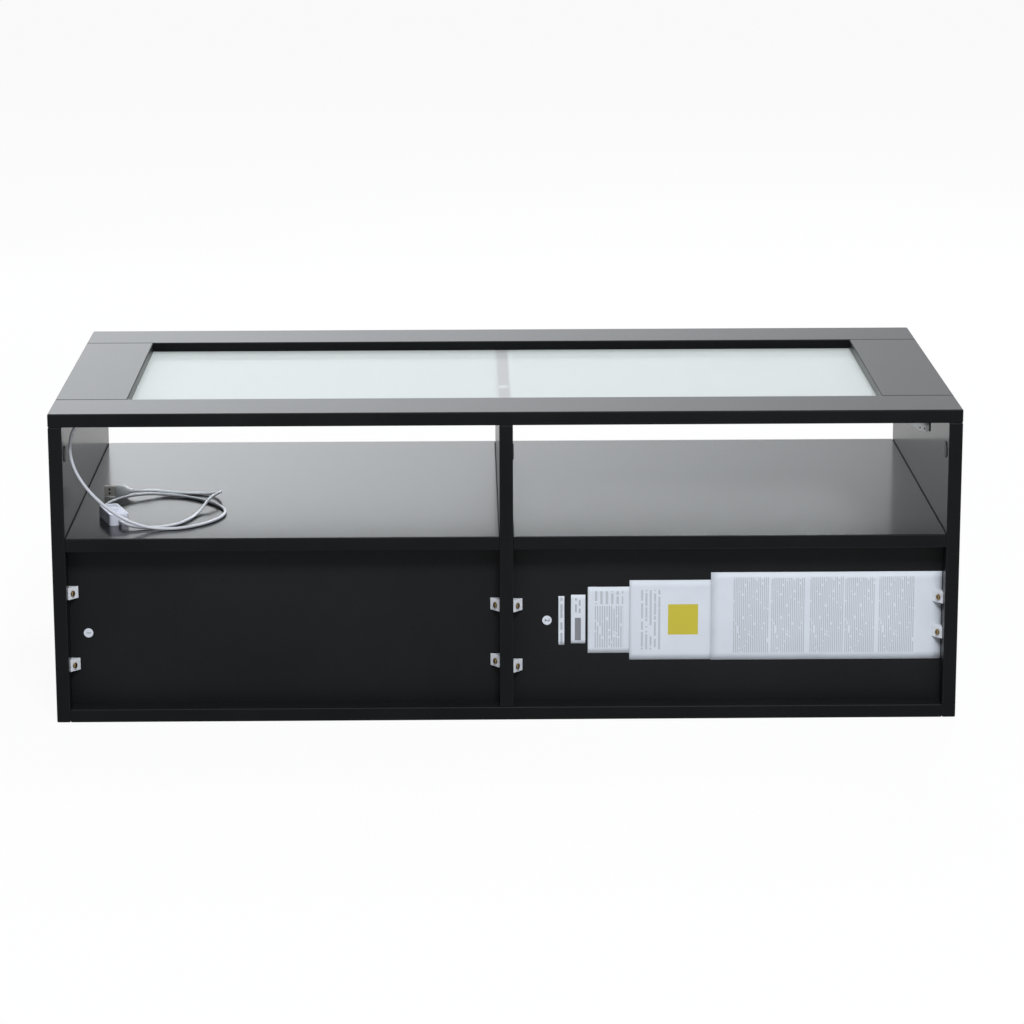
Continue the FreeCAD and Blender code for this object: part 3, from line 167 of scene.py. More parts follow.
plug(tree, fill.outputs[0], lit.inputs[1])
plug(tree, white.outputs[0], lit.inputs[2])
plug(tree, lit.outputs[0], add(tree, "OutputWorld").inputs["Surface"])
soft_panel = bpy.data.lights.new("soft_panel", "AREA")
soft_panel.shape = "RECTANGLE"
soft_panel.size, soft_panel.size_y = PANEL_WIDE, PANEL_TALL
soft_panel.energy = PANEL_WIDE * PANEL_TALL * math.pi
soft_panel.color = ROOM_TINT
soft_panel.use_nodes = True
tree = soft_panel.node_tree
across = add(tree, "SeparateXYZ", Vector=add(tree, "NewGeometry").outputs["Position"]).outputs[0]
graded = ranged(
    tree, across, PANEL_LEFT_STRENGTH, PANEL_RIGHT_STRENGTH, PANEL_FADE_START, PANEL_FADE_END)
plug(tree, graded, tree.nodes["Emission"].inputs["Strength"])
panel_light = bpy.data.objects.new("soft_panel", soft_panel)
panel_light.location = PANEL_PLACE
panel_light.rotation_euler = (-math.pi / 2, 0, 0)
panel_light.visible_camera = False
panel_light.visible_transmission = False
scene.collection.objects.link(panel_light)
for name, place, strength in (
        ("rear_box", REAR_BOX, REAR_STRENGTH), ("front_box", FRONT_BOX, FRONT_STRENGTH)):
    soft_box = bpy.data.lights.new(name, "AREA")
    soft_box.shape = "SQUARE"
    soft_box.size = BOX_SIDE
    soft_box.energy = strength * BOX_SIDE ** 2 * math.pi
    soft_box.color = BOX_TINT
    box_light = bpy.data.objects.new(name, soft_box)
    box_light.location = place
    box_light.rotation_euler = (BOX_AIM - Vector(place)).to_track_quat("-Z", "Y").to_euler()
    box_light.visible_camera = False
    box_light.visible_glossy = name == "rear_box"
    scene.collection.objects.link(box_light)


# Boards: 15 mm particle board with a black melamine face, edges banded in the same black and eased. The
# pressed face has a fine even pore, and the banded edges are a little lighter in tone than the faces.
def blended(tree, mask, first, second):
    """Colour that goes from the first to the second with a mask."""
    made = tree.nodes.new("ShaderNodeMix")
    made.data_type = "RGBA"
    plug(tree, mask, made.inputs[0])
    plug(tree, first, made.inputs[6])
    plug(tree, second, made.inputs[7])
    return made.outputs[2]


def effect(name, outputs, **inputs):
    """Empty shader node group with number inputs and outputs, and its two end nodes."""
    group = bpy.data.node_groups.new(name, "ShaderNodeTree")
    for socket_name, value in inputs.items():
        socket = group.interface.new_socket(
            socket_name.replace("_", " "), in_out="INPUT", socket_type="NodeSocketFloat")
        socket.default_value = value
    for socket_name in outputs:
        group.interface.new_socket(socket_name, in_out="OUTPUT", socket_type="NodeSocketFloat")
    return group, group.nodes.new("NodeGroupInput").outputs, group.nodes.new("NodeGroupOutput").inputs


def placed(tree, group, **inputs):
    """Outputs of a node group in a material, with its own values."""
    made = tree.nodes.new("ShaderNodeGroup")
    made.node_tree = group
    for name, value in inputs.items():
        plug(tree, value, made.inputs[name.replace("_", " ")])
    return made.outputs


def finish_of(name, **values):
    """Material, its node tree and its shader, with the shader's plain values set."""
    material = bpy.data.materials.new(name)
    material.use_nodes = True
    skin = material.node_tree.nodes["Principled BSDF"]
    for socket, value in values.items():
        skin.inputs[socket.replace("_", " ")].default_value = value
    return material, material.node_tree, skin.inputs


def raised(tree, height, distance, strength=1.0):
    """Normal of a surface whose height varies by up to a distance in metres."""
    return add(tree, "Bump", Strength=strength, Distance=distance, Height=height).outputs[0]


def dress(material, *node_names):
    """Gives CAD nodes a finished material."""
    for name in node_names:
        for material_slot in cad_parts[name].material_slots:
            material_slot.material = material


# pressed face: slow cloudy change of tone, and fine pores
pressed_face, given, out = effect("pressed_face", ["Cloud", "Pores"], Cloud_Scale=9, Pore_Scale=1400)
place = add(pressed_face, "TexCoord").outputs["Object"]
cloud = add(pressed_face, "TexNoise", Vector=place, Scale=given["Cloud Scale"], Detail=4, Roughness=0.55)
plug(pressed_face, ranged(pressed_face, cloud.outputs[0], 0, 1, start=0.3, end=0.7), out["Cloud"])
pores = add(pressed_face, "TexNoise", Vector=place, Scale=given["Pore Scale"], Detail=2, Roughness=0.6)
plug(pressed_face, ranged(pressed_face, pores.outputs[0], 0, 1, start=0.3, end=0.7), out["Pores"])

# eased edges: wherever the surface lies square to none of the three axes
eased_edges, given, out = effect("eased_edges", ["Mask"], Width=0.1)
facing = add(eased_edges, "SeparateXYZ", Vector=add(eased_edges, "NewGeometry").outputs["Normal"]).outputs
sides = [worked(eased_edges, "ABSOLUTE", facing[axis]) for axis in range(3)]
squarest = worked(eased_edges, "MAXIMUM", worked(eased_edges, "MAXIMUM", sides[0], sides[1]), sides[2])
off_square = worked(eased_edges, "SUBTRACT", 1.0, squarest)
plug(eased_edges, ranged(eased_edges, off_square, 0, 1, start=0.01, end=given["Width"]), out["Mask"])

# settled dust: pale specks, thicker in patches, only where a face looks up
PATCH_SHARE = 0.25
settled_dust, given, out = effect("settled_dust", ["Mask"], Amount=0.5)
place = add(settled_dust, "TexCoord").outputs["Object"]
normal = add(settled_dust, "NewGeometry").outputs["Normal"]
upward = add(settled_dust, "SeparateXYZ", Vector=normal).outputs[2]
facing_up = ranged(settled_dust, upward, 0, 1, start=0.6, end=0.95)
patches = add(settled_dust, "TexNoise", Vector=place, Scale=14, Detail=3).outputs[0]
specks = add(settled_dust, "TexNoise", Vector=place, Scale=620, Detail=1).outputs[0]
spread = worked(settled_dust, "ADD", specks, worked(settled_dust, "MULTIPLY", patches, PATCH_SHARE))
speckled = ranged(settled_dust, spread, 0, 1, start=0.78, end=0.95)
thickness = worked(settled_dust, "MULTIPLY", speckled, given["Amount"])
plug(settled_dust, worked(settled_dust, "MULTIPLY", thickness, facing_up), out["Mask"])

BOARD_DARK, BOARD_LIGHT = (0.0052, 0.0056, 0.0062, 1), (0.0078, 0.0083, 0.0091, 1)
BAND_TONE, DUST_TONE, DUST_AMOUNT = (0.012, 0.0125, 0.013, 1), (0.20, 0.20, 0.19, 1), 0.12
GLANCE_START, GLANCE_FULL = 0.5, 0.77
PORE_DEPTH = 0.00006


def board_finish(name, sheen, sheen_rough, edge_sheen):
    """Black melamine whose sheen comes up only at a glance along the face."""
    material, tree, skin = finish_of(
        name, Specular_IOR_Level=0.06, Coat_Roughness=sheen_rough, Coat_IOR=1.6)
    face = placed(tree, pressed_face)
    tone = blended(tree, face["Cloud"], BOARD_DARK, BOARD_LIGHT)
    edge = placed(tree, eased_edges)["Mask"]
    tone = blended(tree, edge, tone, BAND_TONE)
    dust = placed(tree, settled_dust, Amount=DUST_AMOUNT)["Mask"]
    plug(tree, blended(tree, dust, tone, DUST_TONE), skin["Base Color"])
    plug(tree, ranged(tree, face["Pores"], 0.37, 0.45), skin["Roughness"])
    plug(tree, raised(tree, face["Pores"], PORE_DEPTH, strength=0.5), skin["Normal"])
    facing = add(tree, "LayerWeight", Blend=0.5).outputs["Facing"]
    glancing = ranged(tree, facing, 0, sheen, GLANCE_START, GLANCE_FULL)
    on_face = ranged(tree, edge, 1, edge_sheen)
    plug(tree, worked(tree, "MULTIPLY", glancing, on_face), skin["Coat Weight"])
    return material


black_board = board_finish("black_board", sheen=0.57, sheen_rough=0.30, edge_sheen=0.0)
wall_board = board_finish("wall_board", sheen=0.335, sheen_rough=0.12, edge_sheen=0.0)
deck_board = board_finish("deck_board", sheen=0.64, sheen_rough=0.155, edge_sheen=1.0)
dress(black_board, "bottom_panel", "rear_top_rail", "front_top_rail", "left_top_board", "right_top_board")
dress(wall_board, "left_side_panel", "right_side_panel", "centre_divider")
dress(deck_board, "left_deck", "right_deck")

# Dowels: plain beech pins, glued into the edge of one board and the face of the next. They are hidden
# in their holes until the table is taken apart.
BEECH_DARK, BEECH_LIGHT = (0.44, 0.27, 0.14, 1), (0.60, 0.40, 0.23, 1)
beech, tree, skin = finish_of("beech", Roughness=0.62)
place = add(tree, "TexCoord").outputs["Object"]
rings = add(tree, "TexWave", Vector=place, Scale=210, Distortion=5, Detail=3).outputs[1]
plug(tree, blended(tree, rings, BEECH_DARK, BEECH_LIGHT), skin["Base Color"])
plug(tree, raised(tree, rings, distance=0.00005), skin["Normal"])
dress(beech, "dowels")

# Cams and bolts: die-cast zinc cams with a cross slot, and steel bolts screwed into the next board. A
# half turn of the cam draws the bolt's head in and pulls the joint tight.
GRAIN_FINENESS = 9.0
grained_metal, given, out = effect("grained_metal", ["Tone", "Grain"], Scale=260)
place = add(grained_metal, "TexCoord").outputs["Object"]
blotches = add(grained_metal, "TexNoise", Vector=place, Scale=given["Scale"], Detail=5, Roughness=0.65)
plug(grained_metal, ranged(grained_metal, blotches.outputs[0], 0, 1, start=0.25, end=0.75), out["Tone"])
fine_scale = worked(grained_metal, "MULTIPLY", given["Scale"], GRAIN_FINENESS)
fine = add(grained_metal, "TexNoise", Vector=place, Detail=2, Scale=fine_scale)
plug(grained_metal, fine.outputs[0], out["Grain"])


def metal(name, dark, light, smooth, rough, scale):
    """Bare or plated metal with a blotchy tone and a fine grain."""
    material, tree, skin = finish_of(name, Metallic=1.0)
    look = placed(tree, grained_metal, Scale=scale)
    plug(tree, blended(tree, look["Tone"], dark, light), skin["Base Color"])
    plug(tree, ranged(tree, look["Grain"], smooth, rough), skin["Roughness"])
    plug(tree, raised(tree, look["Grain"], distance=0.00003, strength=0.4), skin["Normal"])
    return material


cast_zinc = metal(
    "cast_zinc", dark=(0.36, 0.37, 0.38, 1), light=(0.52, 0.53, 0.54, 1),
    smooth=0.38, rough=0.55, scale=420)
bright_zinc = metal(
    "bright_zinc", dark=(0.52, 0.54, 0.56, 1), light=(0.70, 0.71, 0.72, 1),
    smooth=0.24, rough=0.38, scale=160)
dress(cast_zinc, "cam_locks", "left_drawer_cam_locks", "right_drawer_cam_locks")
dress(bright_zinc, "cam_bolts", "left_drawer_cam_bolts", "right_drawer_cam_bolts")

# Screws: steel with a yellow zinc plating, a cross recess in the short ones and a six-sided socket in
# the long ones that join the bottom panel and the drawer backs.
yellow_zinc = metal(
    "yellow_zinc", dark=(0.20, 0.13, 0.055, 1), light=(0.42, 0.30, 0.13, 1),
    smooth=0.28, rough=0.45, scale=900)
dress(yellow_zinc, "chipboard_screws", "base_screws")
for hand in ("left", "right"):
    dress(yellow_zinc, f"{hand}_drawer_back_screws", f"{hand}_drawer_slide_screws")

# Back panels: 5 mm fibreboard, painted black on the face that shows, slid into grooves in the boards
# round them. The paint lies thinner than the boards' melamine and is a little more matt.
PAINT_DARK, PAINT_LIGHT = (0.0062, 0.0066, 0.0073, 1), (0.0098, 0.0102, 0.0111, 1)
back_paint, tree, skin = finish_of("back_paint", Specular_IOR_Level=0.1)
face = placed(tree, pressed_face, Cloud_Scale=5, Pore_Scale=900)
plug(tree, blended(tree, face["Cloud"], PAINT_DARK, PAINT_LIGHT), skin["Base Color"])
plug(tree, ranged(tree, face["Pores"], 0.46, 0.58), skin["Roughness"])
plug(tree, raised(tree, face["Pores"], distance=0.00010, strength=0.6), skin["Normal"])
dress(back_paint, "left_back_panel", "right_back_panel")

# Wedges: white moulded blocks in the corners behind the back panels. Each is held by one screw driven
# at a slant through its sloping face into the wall, and presses the panel against its groove.
moulded, given, out = effect("moulded", ["Tone", "Texture"], Scale=2600)
place = add(moulded, "TexCoord").outputs["Object"]
flow = add(moulded, "TexNoise", Vector=place, Scale=45, Detail=3)
plug(moulded, ranged(moulded, flow.outputs[0], 0, 1, start=0.3, end=0.7), out["Tone"])
spark = add(moulded, "TexNoise", Vector=place, Scale=given["Scale"], Detail=2, Roughness=0.6)
plug(moulded, spark.outputs[0], out["Texture"])


def plastic(name, dark, light, smooth, rough, depth, **values):
    """Moulded plastic with faint flow marks and a spark-eroded texture."""
    material, tree, skin = finish_of(name, **values)
    look = placed(tree, moulded)
    plug(tree, blended(tree, look["Tone"], dark, light), skin["Base Color"])
    plug(tree, ranged(tree, look["Texture"], smooth, rough), skin["Roughness"])
    plug(tree, raised(tree, look["Texture"], depth, strength=0.5), skin["Normal"])
    return material


white_plastic = plastic(
    "white_plastic", dark=(0.62, 0.64, 0.68, 1), light=(0.69, 0.71, 0.75, 1),
    smooth=0.34, rough=0.48, depth=0.00004)
dress(white_plastic, "panel_wedges")

# Paper sheets: five blank sheets of different sizes, glued in a row to the right back panel. Only ruled
# lines and plain colour patches are printed on them, and they bow a hair off the board between their
# glued side edges.
PAPER_FACE, PAPER_THICK, PAPER_LIFT = -0.22502, 0.00012, 0.00035
BOW_MEAN, BOW_CHANGE, WAVES_ACROSS, WAVES_UP = 0.6, 0.4, 7, 3
# left, right, low and high edge of each sheet
SHEETS = {
    "strip_sheet": (0.0580, 0.0645, 0.0796, 0.1356),
    "small_sheet": (0.0719, 0.0879, 0.0811, 0.1371),
    "ruled_sheet": (0.0906, 0.1370, 0.0699, 0.1460),
    "patch_sheet": (0.1370, 0.2281, 0.0619, 0.1533),
    "long_sheet": (0.2276, 0.4846, 0.0612, 0.1618),
}


def paper_sheet(name, left, right, low, high):
    """Thin upright sheet that bows a little off the board between its glued edges."""
    shape = bmesh.new()
    bmesh.ops.create_grid(shape, x_segments=24, y_segments=12, size=0.5)
    for vert in shape.verts:
        across, up = vert.co.x, vert.co.y
        uneven = BOW_MEAN + BOW_CHANGE * math.sin(WAVES_ACROSS * across + WAVES_UP * up)
        lift = PAPER_LIFT * math.cos(math.pi * across) * uneven
        x, z = left + (right - left) * (across + 0.5), low + (high - low) * (up + 0.5)
        vert.co = (x, PAPER_FACE - lift, z)
    bmesh.ops.recalc_face_normals(shape, faces=shape.faces)
    if shape.faces[0].normal.y > 0:
        bmesh.ops.reverse_faces(shape, faces=shape.faces)
    bmesh.ops.solidify(shape, geom=shape.faces, thickness=PAPER_THICK)
    piece = put_on_show(name, shape)
    for polygon in piece.data.polygons:
        polygon.use_smooth = True
    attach(piece, "carcass")
    return piece


# ruled block: upright printed lines within a rectangle, broken off unevenly along their length
LINE_SHARE, BREAKS_PER_METRE = 0.45, 90.0
ruled_block, given, out = effect(
    "ruled_block", ["Mask"], Left=0, Right=0.02, Low=0, High=0.05, Pitch=0.0022, Broken=0.3)
place = add(ruled_block, "TexCoord").outputs["Object"]
spot = add(ruled_block, "SeparateXYZ", Vector=place).outputs
inside = worked(ruled_block, "GREATER_THAN", spot[0], given["Left"])
for operation, axis, limit in (
        ("LESS_THAN", 0, "Right"), ("GREATER_THAN", 2, "Low"), ("LESS_THAN", 2, "High")):
    within = worked(ruled_block, operation, spot[axis], given[limit])
    inside = worked(ruled_block, "MULTIPLY", inside, within)
from_left = worked(ruled_block, "SUBTRACT", spot[0], given["Left"])
row = worked(ruled_block, "DIVIDE", from_left, given["Pitch"])
line = worked(ruled_block, "LESS_THAN", worked(ruled_block, "FRACT", row), LINE_SHARE)
row_number = worked(ruled_block, "FLOOR", row)
row_length = worked(ruled_block, "MULTIPLY", spot[2], BREAKS_PER_METRE)
row_place = add(ruled_block, "CombineXYZ", X=row_number, Y=row_length)
gaps = add(ruled_block, "TexNoise", Vector=row_place.outputs[0], Scale=1.7, Detail=1).outputs[0]
kept = worked(ruled_block, "GREATER_THAN", gaps, given["Broken"])
printed = worked(ruled_block, "MULTIPLY", inside, line)
plug(ruled_block, worked(ruled_block, "MULTIPLY", printed, kept), out["Mask"])

PAPER_LOW, PAPER_HIGH = (0.575, 0.61, 0.665, 1), (0.62, 0.655, 0.71, 1)
INK = (0.16, 0.165, 0.18, 1)


def paper_finish(name, prints):
    """Coated paper with a faint tooth, and the printed areas of one sheet."""
    material, tree, skin = finish_of(name, Roughness=0.6)
    face = placed(tree, pressed_face, Cloud_Scale=24, Pore_Scale=2600)
    tone = blended(tree, face["Cloud"], PAPER_LOW, PAPER_HIGH)
    for colour, strength, block in prints:
        mask = placed(tree, ruled_block, **block)["Mask"]
        tone = blended(tree, worked(tree, "MULTIPLY", mask, strength), tone, colour)
    plug(tree, tone, skin["Base Color"])
    plug(tree, raised(tree, face["Pores"], distance=0.00003, strength=0.4), skin["Normal"])
    return material


def lines(left, right, low, high, pitch, broken=0.36):
    """Ruled lines within a rectangle."""
    return dict(Left=left, Right=right, Low=low, High=high, Pitch=pitch, Broken=broken)


def solid(left, right, low, high):
    """Plain filled rectangle: one line wider than the rectangle."""
    return dict(Left=left, Right=right, Low=low, High=high, Pitch=1.0, Broken=-1.0)


YELLOW = (0.49, 0.42, 0.03, 1)
PRINTS = {
    "strip_sheet": [(INK, 0.55, lines(0.0602, 0.0626, 0.0810, 0.1340, pitch=0.0052, broken=0.44))],
    "small_sheet": [
        (INK, 0.95, solid(0.0762, 0.0830, 0.0845, 0.1105)),
        (INK, 0.6, lines(0.0765, 0.0845, 0.1160, 0.1330, pitch=0.0042, broken=0.46)),
    ],
    "ruled_sheet": [
        (INK, 0.5, lines(0.0985, 0.1300, 0.0760, 0.1240, pitch=0.0026)),
        (INK, 0.4, lines(0.0985, 0.1300, 0.1260, 0.1410, pitch=0.0060)),
    ],
    "patch_sheet": [
        (INK, 0.42, lines(0.1500, 0.1720, 0.0735, 0.1420, pitch=0.0048, broken=0.40)),
        (YELLOW, 1.0, solid(0.1800, 0.2135, 0.0905, 0.1255)),
    ],
    "long_sheet": [
        (INK, 0.5, lines(left, right, 0.0690, top, pitch=0.0021, broken=0.34))
        for left, right, top in (
            (0.2530, 0.2918, 0.1560), (0.2952, 0.3329, 0.1550), (0.3385, 0.3752, 0.1560),
            (0.3774, 0.4107, 0.1550), (0.4152, 0.4540, 0.1560),
        )
    ],
}
for name, place in SHEETS.items():
    sheet = paper_sheet(name, *place)
    sheet.data.materials.append(paper_finish(name, PRINTS[name]))

# Number discs: round white stickers that tell the fitter which back panel goes where, one on each panel,
# with a plain printed numeral that lies on its side.
DISC_RADIUS, DISC_THICK, DISC_TAPER = 0.00525, 0.00016, 0.99
NUMERAL_SIZE, NUMERAL_RISE = 0.0076, 0.00019
NUMERAL_DARK, NUMERAL_LIGHT = (0.010, 0.010, 0.012, 1), (0.022, 0.022, 0.025, 1)
disc_paper = paper_finish("disc_paper", [])
numeral_ink, tree, skin = finish_of("numeral_ink", Roughness=0.5)
face = placed(tree, pressed_face, Cloud_Scale=500, Pore_Scale=2600)
plug(tree, blended(tree, face["Cloud"], NUMERAL_DARK, NUMERAL_LIGHT), skin["Base Color"])
for name, numeral, x, z in (("left_disc", "1", -0.4648, 0.0965), ("right_disc", "2", 0.0452, 0.1079)):
    upright = Matrix.Translation((x, PAPER_FACE, z)) @ Matrix.Rotation(math.pi / 2, 4, "X")
    shape = bmesh.new()
    bmesh.ops.create_cone(
        shape, cap_ends=True, segments=40, radius1=DISC_RADIUS, radius2=DISC_RADIUS * DISC_TAPER,
        depth=DISC_THICK, matrix=upright @ Matrix.Translation((0, 0, DISC_THICK / 2)))
    disc = put_on_show(name, shape)
    disc.data.materials.append(disc_paper)
    letter = bpy.data.curves.new(name + "_numeral", "FONT")
    letter.body = numeral
    letter.size = NUMERAL_SIZE
    letter.align_x, letter.align_y = "CENTER", "CENTER"
    cutter = bpy.data.objects.new(name + "_numeral", letter)
    mesh = bpy.data.meshes.new_from_object(cutter)
    on_side = Matrix.Rotation(-math.pi / 2, 4, "Z")
    mesh.transform(upright @ Matrix.Translation((0, 0, NUMERAL_RISE)) @ on_side)
    bpy.data.objects.remove(cutter)
    mesh.materials.clear()
    mesh.materials.append(numeral_ink)
    print_on_disc = bpy.data.objects.new(name + "_numeral", mesh)
    scene.collection.objects.link(print_on_disc)
    for piece in (disc, print_on_disc):
        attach(piece, "carcass")

# Drawer slides: channels rolled from bright zinc-plated strip, one on each wall and one on each drawer
# side, with steel balls in pressed retainers between their lips.
ROLLED_DARK, ROLLED_LIGHT = (0.50, 0.52, 0.55, 1), (0.68, 0.69, 0.71, 1)
rolled_strip, tree, skin = finish_of("rolled_strip", Metallic=1.0)
look = placed(tree, grained_metal, Scale=90)
place = add(tree, "TexCoord").outputs["Object"]
stretched = add(tree, "Mapping", Vector=place, Scale=(900, 12, 900))
drawn_lines = add(tree, "TexNoise", Vector=stretched.outputs[0], Scale=1, Detail=3).outputs[0]
plug(tree, blended(tree, look["Tone"], ROLLED_DARK, ROLLED_LIGHT), skin["Base Color"])
plug(tree, ranged(tree, drawn_lines, 0.22, 0.42), skin["Roughness"])
plug(tree, raised(tree, drawn_lines, distance=0.00004, strength=0.5), skin["Normal"])
dress(rolled_strip, "slide_outer_members", "left_drawer_inner_members", "right_drawer_inner_members")
dress(bright_zinc, "left_ball_strips", "right_ball_strips")

# Drawers: boxes of the same black board, with a scooped finger opening in the top edge of each front.
# Sides are held to the fronts by cams and to the backs by long screws.
for hand in ("left", "right"):
    for board in ("front", "left_side", "right_side", "back"):
        dress(black_board, f"{hand}_drawer_{board}")

# Drawer bottoms: 3 mm hardboard with a dark grey printed face, slid into grooves. The print has a short
# woven fleck, so that it hides scratches.
FLECK_DARK, FLECK_LIGHT = (0.020, 0.020, 0.022, 1), (0.048, 0.048, 0.050, 1)
hardboard, tree, skin = finish_of("hardboard", Specular_IOR_Level=0.3)
place = add(tree, "TexCoord").outputs["Object"]
flecks = []
for thread in ((1600, 160, 160), (160, 1600, 160)):
    drawn = add(tree, "Mapping", Vector=place, Scale=thread).outputs[0]
    flecks.append(add(tree, "TexNoise", Vector=drawn, Scale=1, Detail=2).outputs[0])
woven = worked(tree, "MULTIPLY", worked(tree, "ADD", *flecks), 0.5)
fleck = ranged(tree, woven, 0, 1, start=0.35, end=0.65)
plug(tree, blended(tree, fleck, FLECK_DARK, FLECK_LIGHT), skin["Base Color"])
plug(tree, ranged(tree, fleck, 0.5, 0.62), skin["Roughness"])
plug(tree, raised(tree, fleck, distance=0.00005, strength=0.5), skin["Normal"])
dress(hardboard, "left_drawer_bottom", "right_drawer_bottom")

# Cam covers and glass clips: thin black moulded discs pushed over the cams that show in the bays, and
# black plates fixed under the top frame that hold the glass up in its rebate.
black_plastic = plastic(
    "black_plastic", dark=(0.012, 0.012, 0.013, 1), light=(0.020, 0.020, 0.021, 1),
    smooth=0.40, rough=0.56, depth=0.00005, Specular_IOR_Level=0.3)
dress(black_plastic, "cam_covers", "glass_clips")

# Glass: one clear 4 mm pane with ground green edges, laid in a rebate cut from below in the top frame.
# Its faces are clean apart from a faint film of handling. It casts no shadow, so that the lamps reach
# what lies under it.
SEEN_THROUGH, SEEN_GLANCING = (0.90, 0.95, 0.93, 1), (0.20, 0.30, 0.27, 1)
GROUND_EDGE = (0.26, 0.50, 0.42, 1)
clear_glass, tree, skin = finish_of(
    "clear_glass", Transmission_Weight=1.0, IOR=1.08, Coat_Roughness=0.7, Coat_IOR=4.0, Sheen_Weight=1.0,
    Sheen_Roughness=0.5)
normal = add(tree, "NewGeometry").outputs["Normal"]
level = worked(tree, "ABSOLUTE", add(tree, "SeparateXYZ", Vector=normal).outputs[2])
edge_on = ranged(tree, level, 1, 0, start=0.5, end=0.95)
facing = add(tree, "LayerWeight", Blend=0.5).outputs["Facing"]
glancing = ranged(tree, facing, 0, 1, start=0.4, end=GLANCE_FULL)
plug(tree, glancing, skin["Coat Weight"])
through = blended(tree, glancing, SEEN_THROUGH, SEEN_GLANCING)
plug(tree, blended(tree, edge_on, through, GROUND_EDGE), skin["Base Color"])
place = add(tree, "TexCoord").outputs["Object"]
film = add(tree, "TexNoise", Vector=place, Scale=7, Detail=6, Roughness=0.6)
plug(tree, ranged(tree, film.outputs[0], 0.0, 0.03, start=0.45, end=0.75), skin["Roughness"])
dress(clear_glass, "glass_top")
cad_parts["glass_top"].visible_shadow = False

# Glass pad: a small oblong of clear soft silicone let into the top of the divider, on which the glass
# rests near its middle.
PAD_DARK, PAD_LIGHT = (0.70, 0.71, 0.70, 1), (0.84, 0.85, 0.84, 1)
clear_pad, tree, skin = finish_of("clear_pad", Transmission_Weight=0.6, IOR=1.42)
place = add(tree, "TexCoord").outputs["Object"]
haze = add(tree, "TexNoise", Vector=place, Scale=800, Detail=3).outputs[0]
plug(tree, blended(tree, haze, PAD_DARK, PAD_LIGHT), skin["Base Color"])
plug(tree, ranged(tree, haze, 0.3, 0.5), skin["Roughness"])
dress(clear_pad, "glass_pad")

# Light strip: a white flexible circuit tape stuck under the rear rail, with copper solder pads at each
# cutting line. Its loose right-hand end turns on edge and hangs: it has two bare eyelets there and a dark
# end, and its upper corner by the end is darkened with painted shade from the rail above.
STRIP_START, CHIP_PITCH, STRIP_MIDDLE = -0.442, 0.0333, -0.212
EYELETS = ((0.4577, 0.3222), (0.4627, 0.3212))
EYELET_WIDE, EYELET_TALL = 0.0008, 0.0012
TAIL_START, TAIL_CORNER, TAIL_END = 0.4440, 0.4580, 0.4678
CORNER_LOW, CORNER_HIGH = 0.3235, 0.3255
PAD_SHARE, CUT_SHARE = 0.045, 0.006
PAD_ROWS, PAD_GAP = 0.0012, 0.00055
TAPE_DARK, TAPE_LIGHT = (0.60, 0.61, 0.60, 1), (0.70, 0.71, 0.70, 1)
# one dark for the cut lines, the eyelets and the tape's end, also used as painted shade on its upper
# corner
COPPER, DARK_MARKS_AND_PAINTED_SHADE, PAINTED_SHADE_STRENGTH = (0.42, 0.22, 0.12, 1), (0.03, 0.03, 0.03, 1), 0.8
tape, tree, skin = finish_of("tape", Specular_IOR_Level=0.4)
place = add(tree, "TexCoord").outputs["Object"]
spot = add(tree, "SeparateXYZ", Vector=place).outputs
step = worked(tree, "DIVIDE", worked(tree, "SUBTRACT", spot[0], STRIP_START), CHIP_PITCH)
in_step = worked(tree, "FRACT", worked(tree, "ADD", step, 0.5))
from_cut = worked(tree, "ABSOLUTE", worked(tree, "SUBTRACT", in_step, 0.5))
off_middle = worked(tree, "ABSOLUTE", worked(tree, "SUBTRACT", spot[1], STRIP_MIDDLE))
in_row = worked(tree, "GREATER_THAN", worked(tree, "PINGPONG", off_middle, PAD_ROWS), PAD_GAP)
pads = worked(tree, "MULTIPLY", worked(tree, "LESS_THAN", from_cut, PAD_SHARE), in_row)
cut_line = worked(tree, "LESS_THAN", from_cut, CUT_SHARE)
mottle = add(tree, "TexNoise", Vector=place, Scale=300, Detail=3).outputs[0]
tone = blended(tree, mottle, TAPE_DARK, TAPE_LIGHT)
on_strip = worked(tree, "LESS_THAN", spot[0], TAIL_START)
tone = blended(tree, worked(tree, "MULTIPLY", pads, on_strip), tone, COPPER)
dark = worked(tree, "MULTIPLY", cut_line, on_strip)
for x, z in EYELETS:
    across = worked(tree, "DIVIDE", worked(tree, "SUBTRACT", spot[0], x), EYELET_WIDE)
    up = worked(tree, "DIVIDE", worked(tree, "SUBTRACT", spot[2], z), EYELET_TALL)
    squares = [worked(tree, "MULTIPLY", side, side) for side in (across, up)]
    reach = worked(tree, "ADD", *squares)
    dark = worked(tree, "MAXIMUM", dark, ranged(tree, reach, 1, 0, start=0.7, end=1.3))
dark = worked(tree, "MAXIMUM", dark, worked(tree, "GREATER_THAN", spot[0], TAIL_END))
# painted shade: the tape's upper corner near its end is darkened where the rail above shades it
painted_rail_shade = ranged(tree, spot[2], 0, PAINTED_SHADE_STRENGTH, CORNER_LOW, CORNER_HIGH)
near_end = ranged(tree, spot[0], 0, 1, TAIL_CORNER, TAIL_END)
dark = worked(tree, "MAXIMUM", dark, worked(tree, "MULTIPLY", painted_rail_shade, near_end))
plug(tree, blended(tree, dark, tone, DARK_MARKS_AND_PAINTED_SHADE), skin["Base Color"])
plug(tree, ranged(tree, mottle, 0.38, 0.52), skin["Roughness"])
plug(tree, raised(tree, mottle, distance=0.00005), skin["Normal"])
dress(tape, "led_strip")

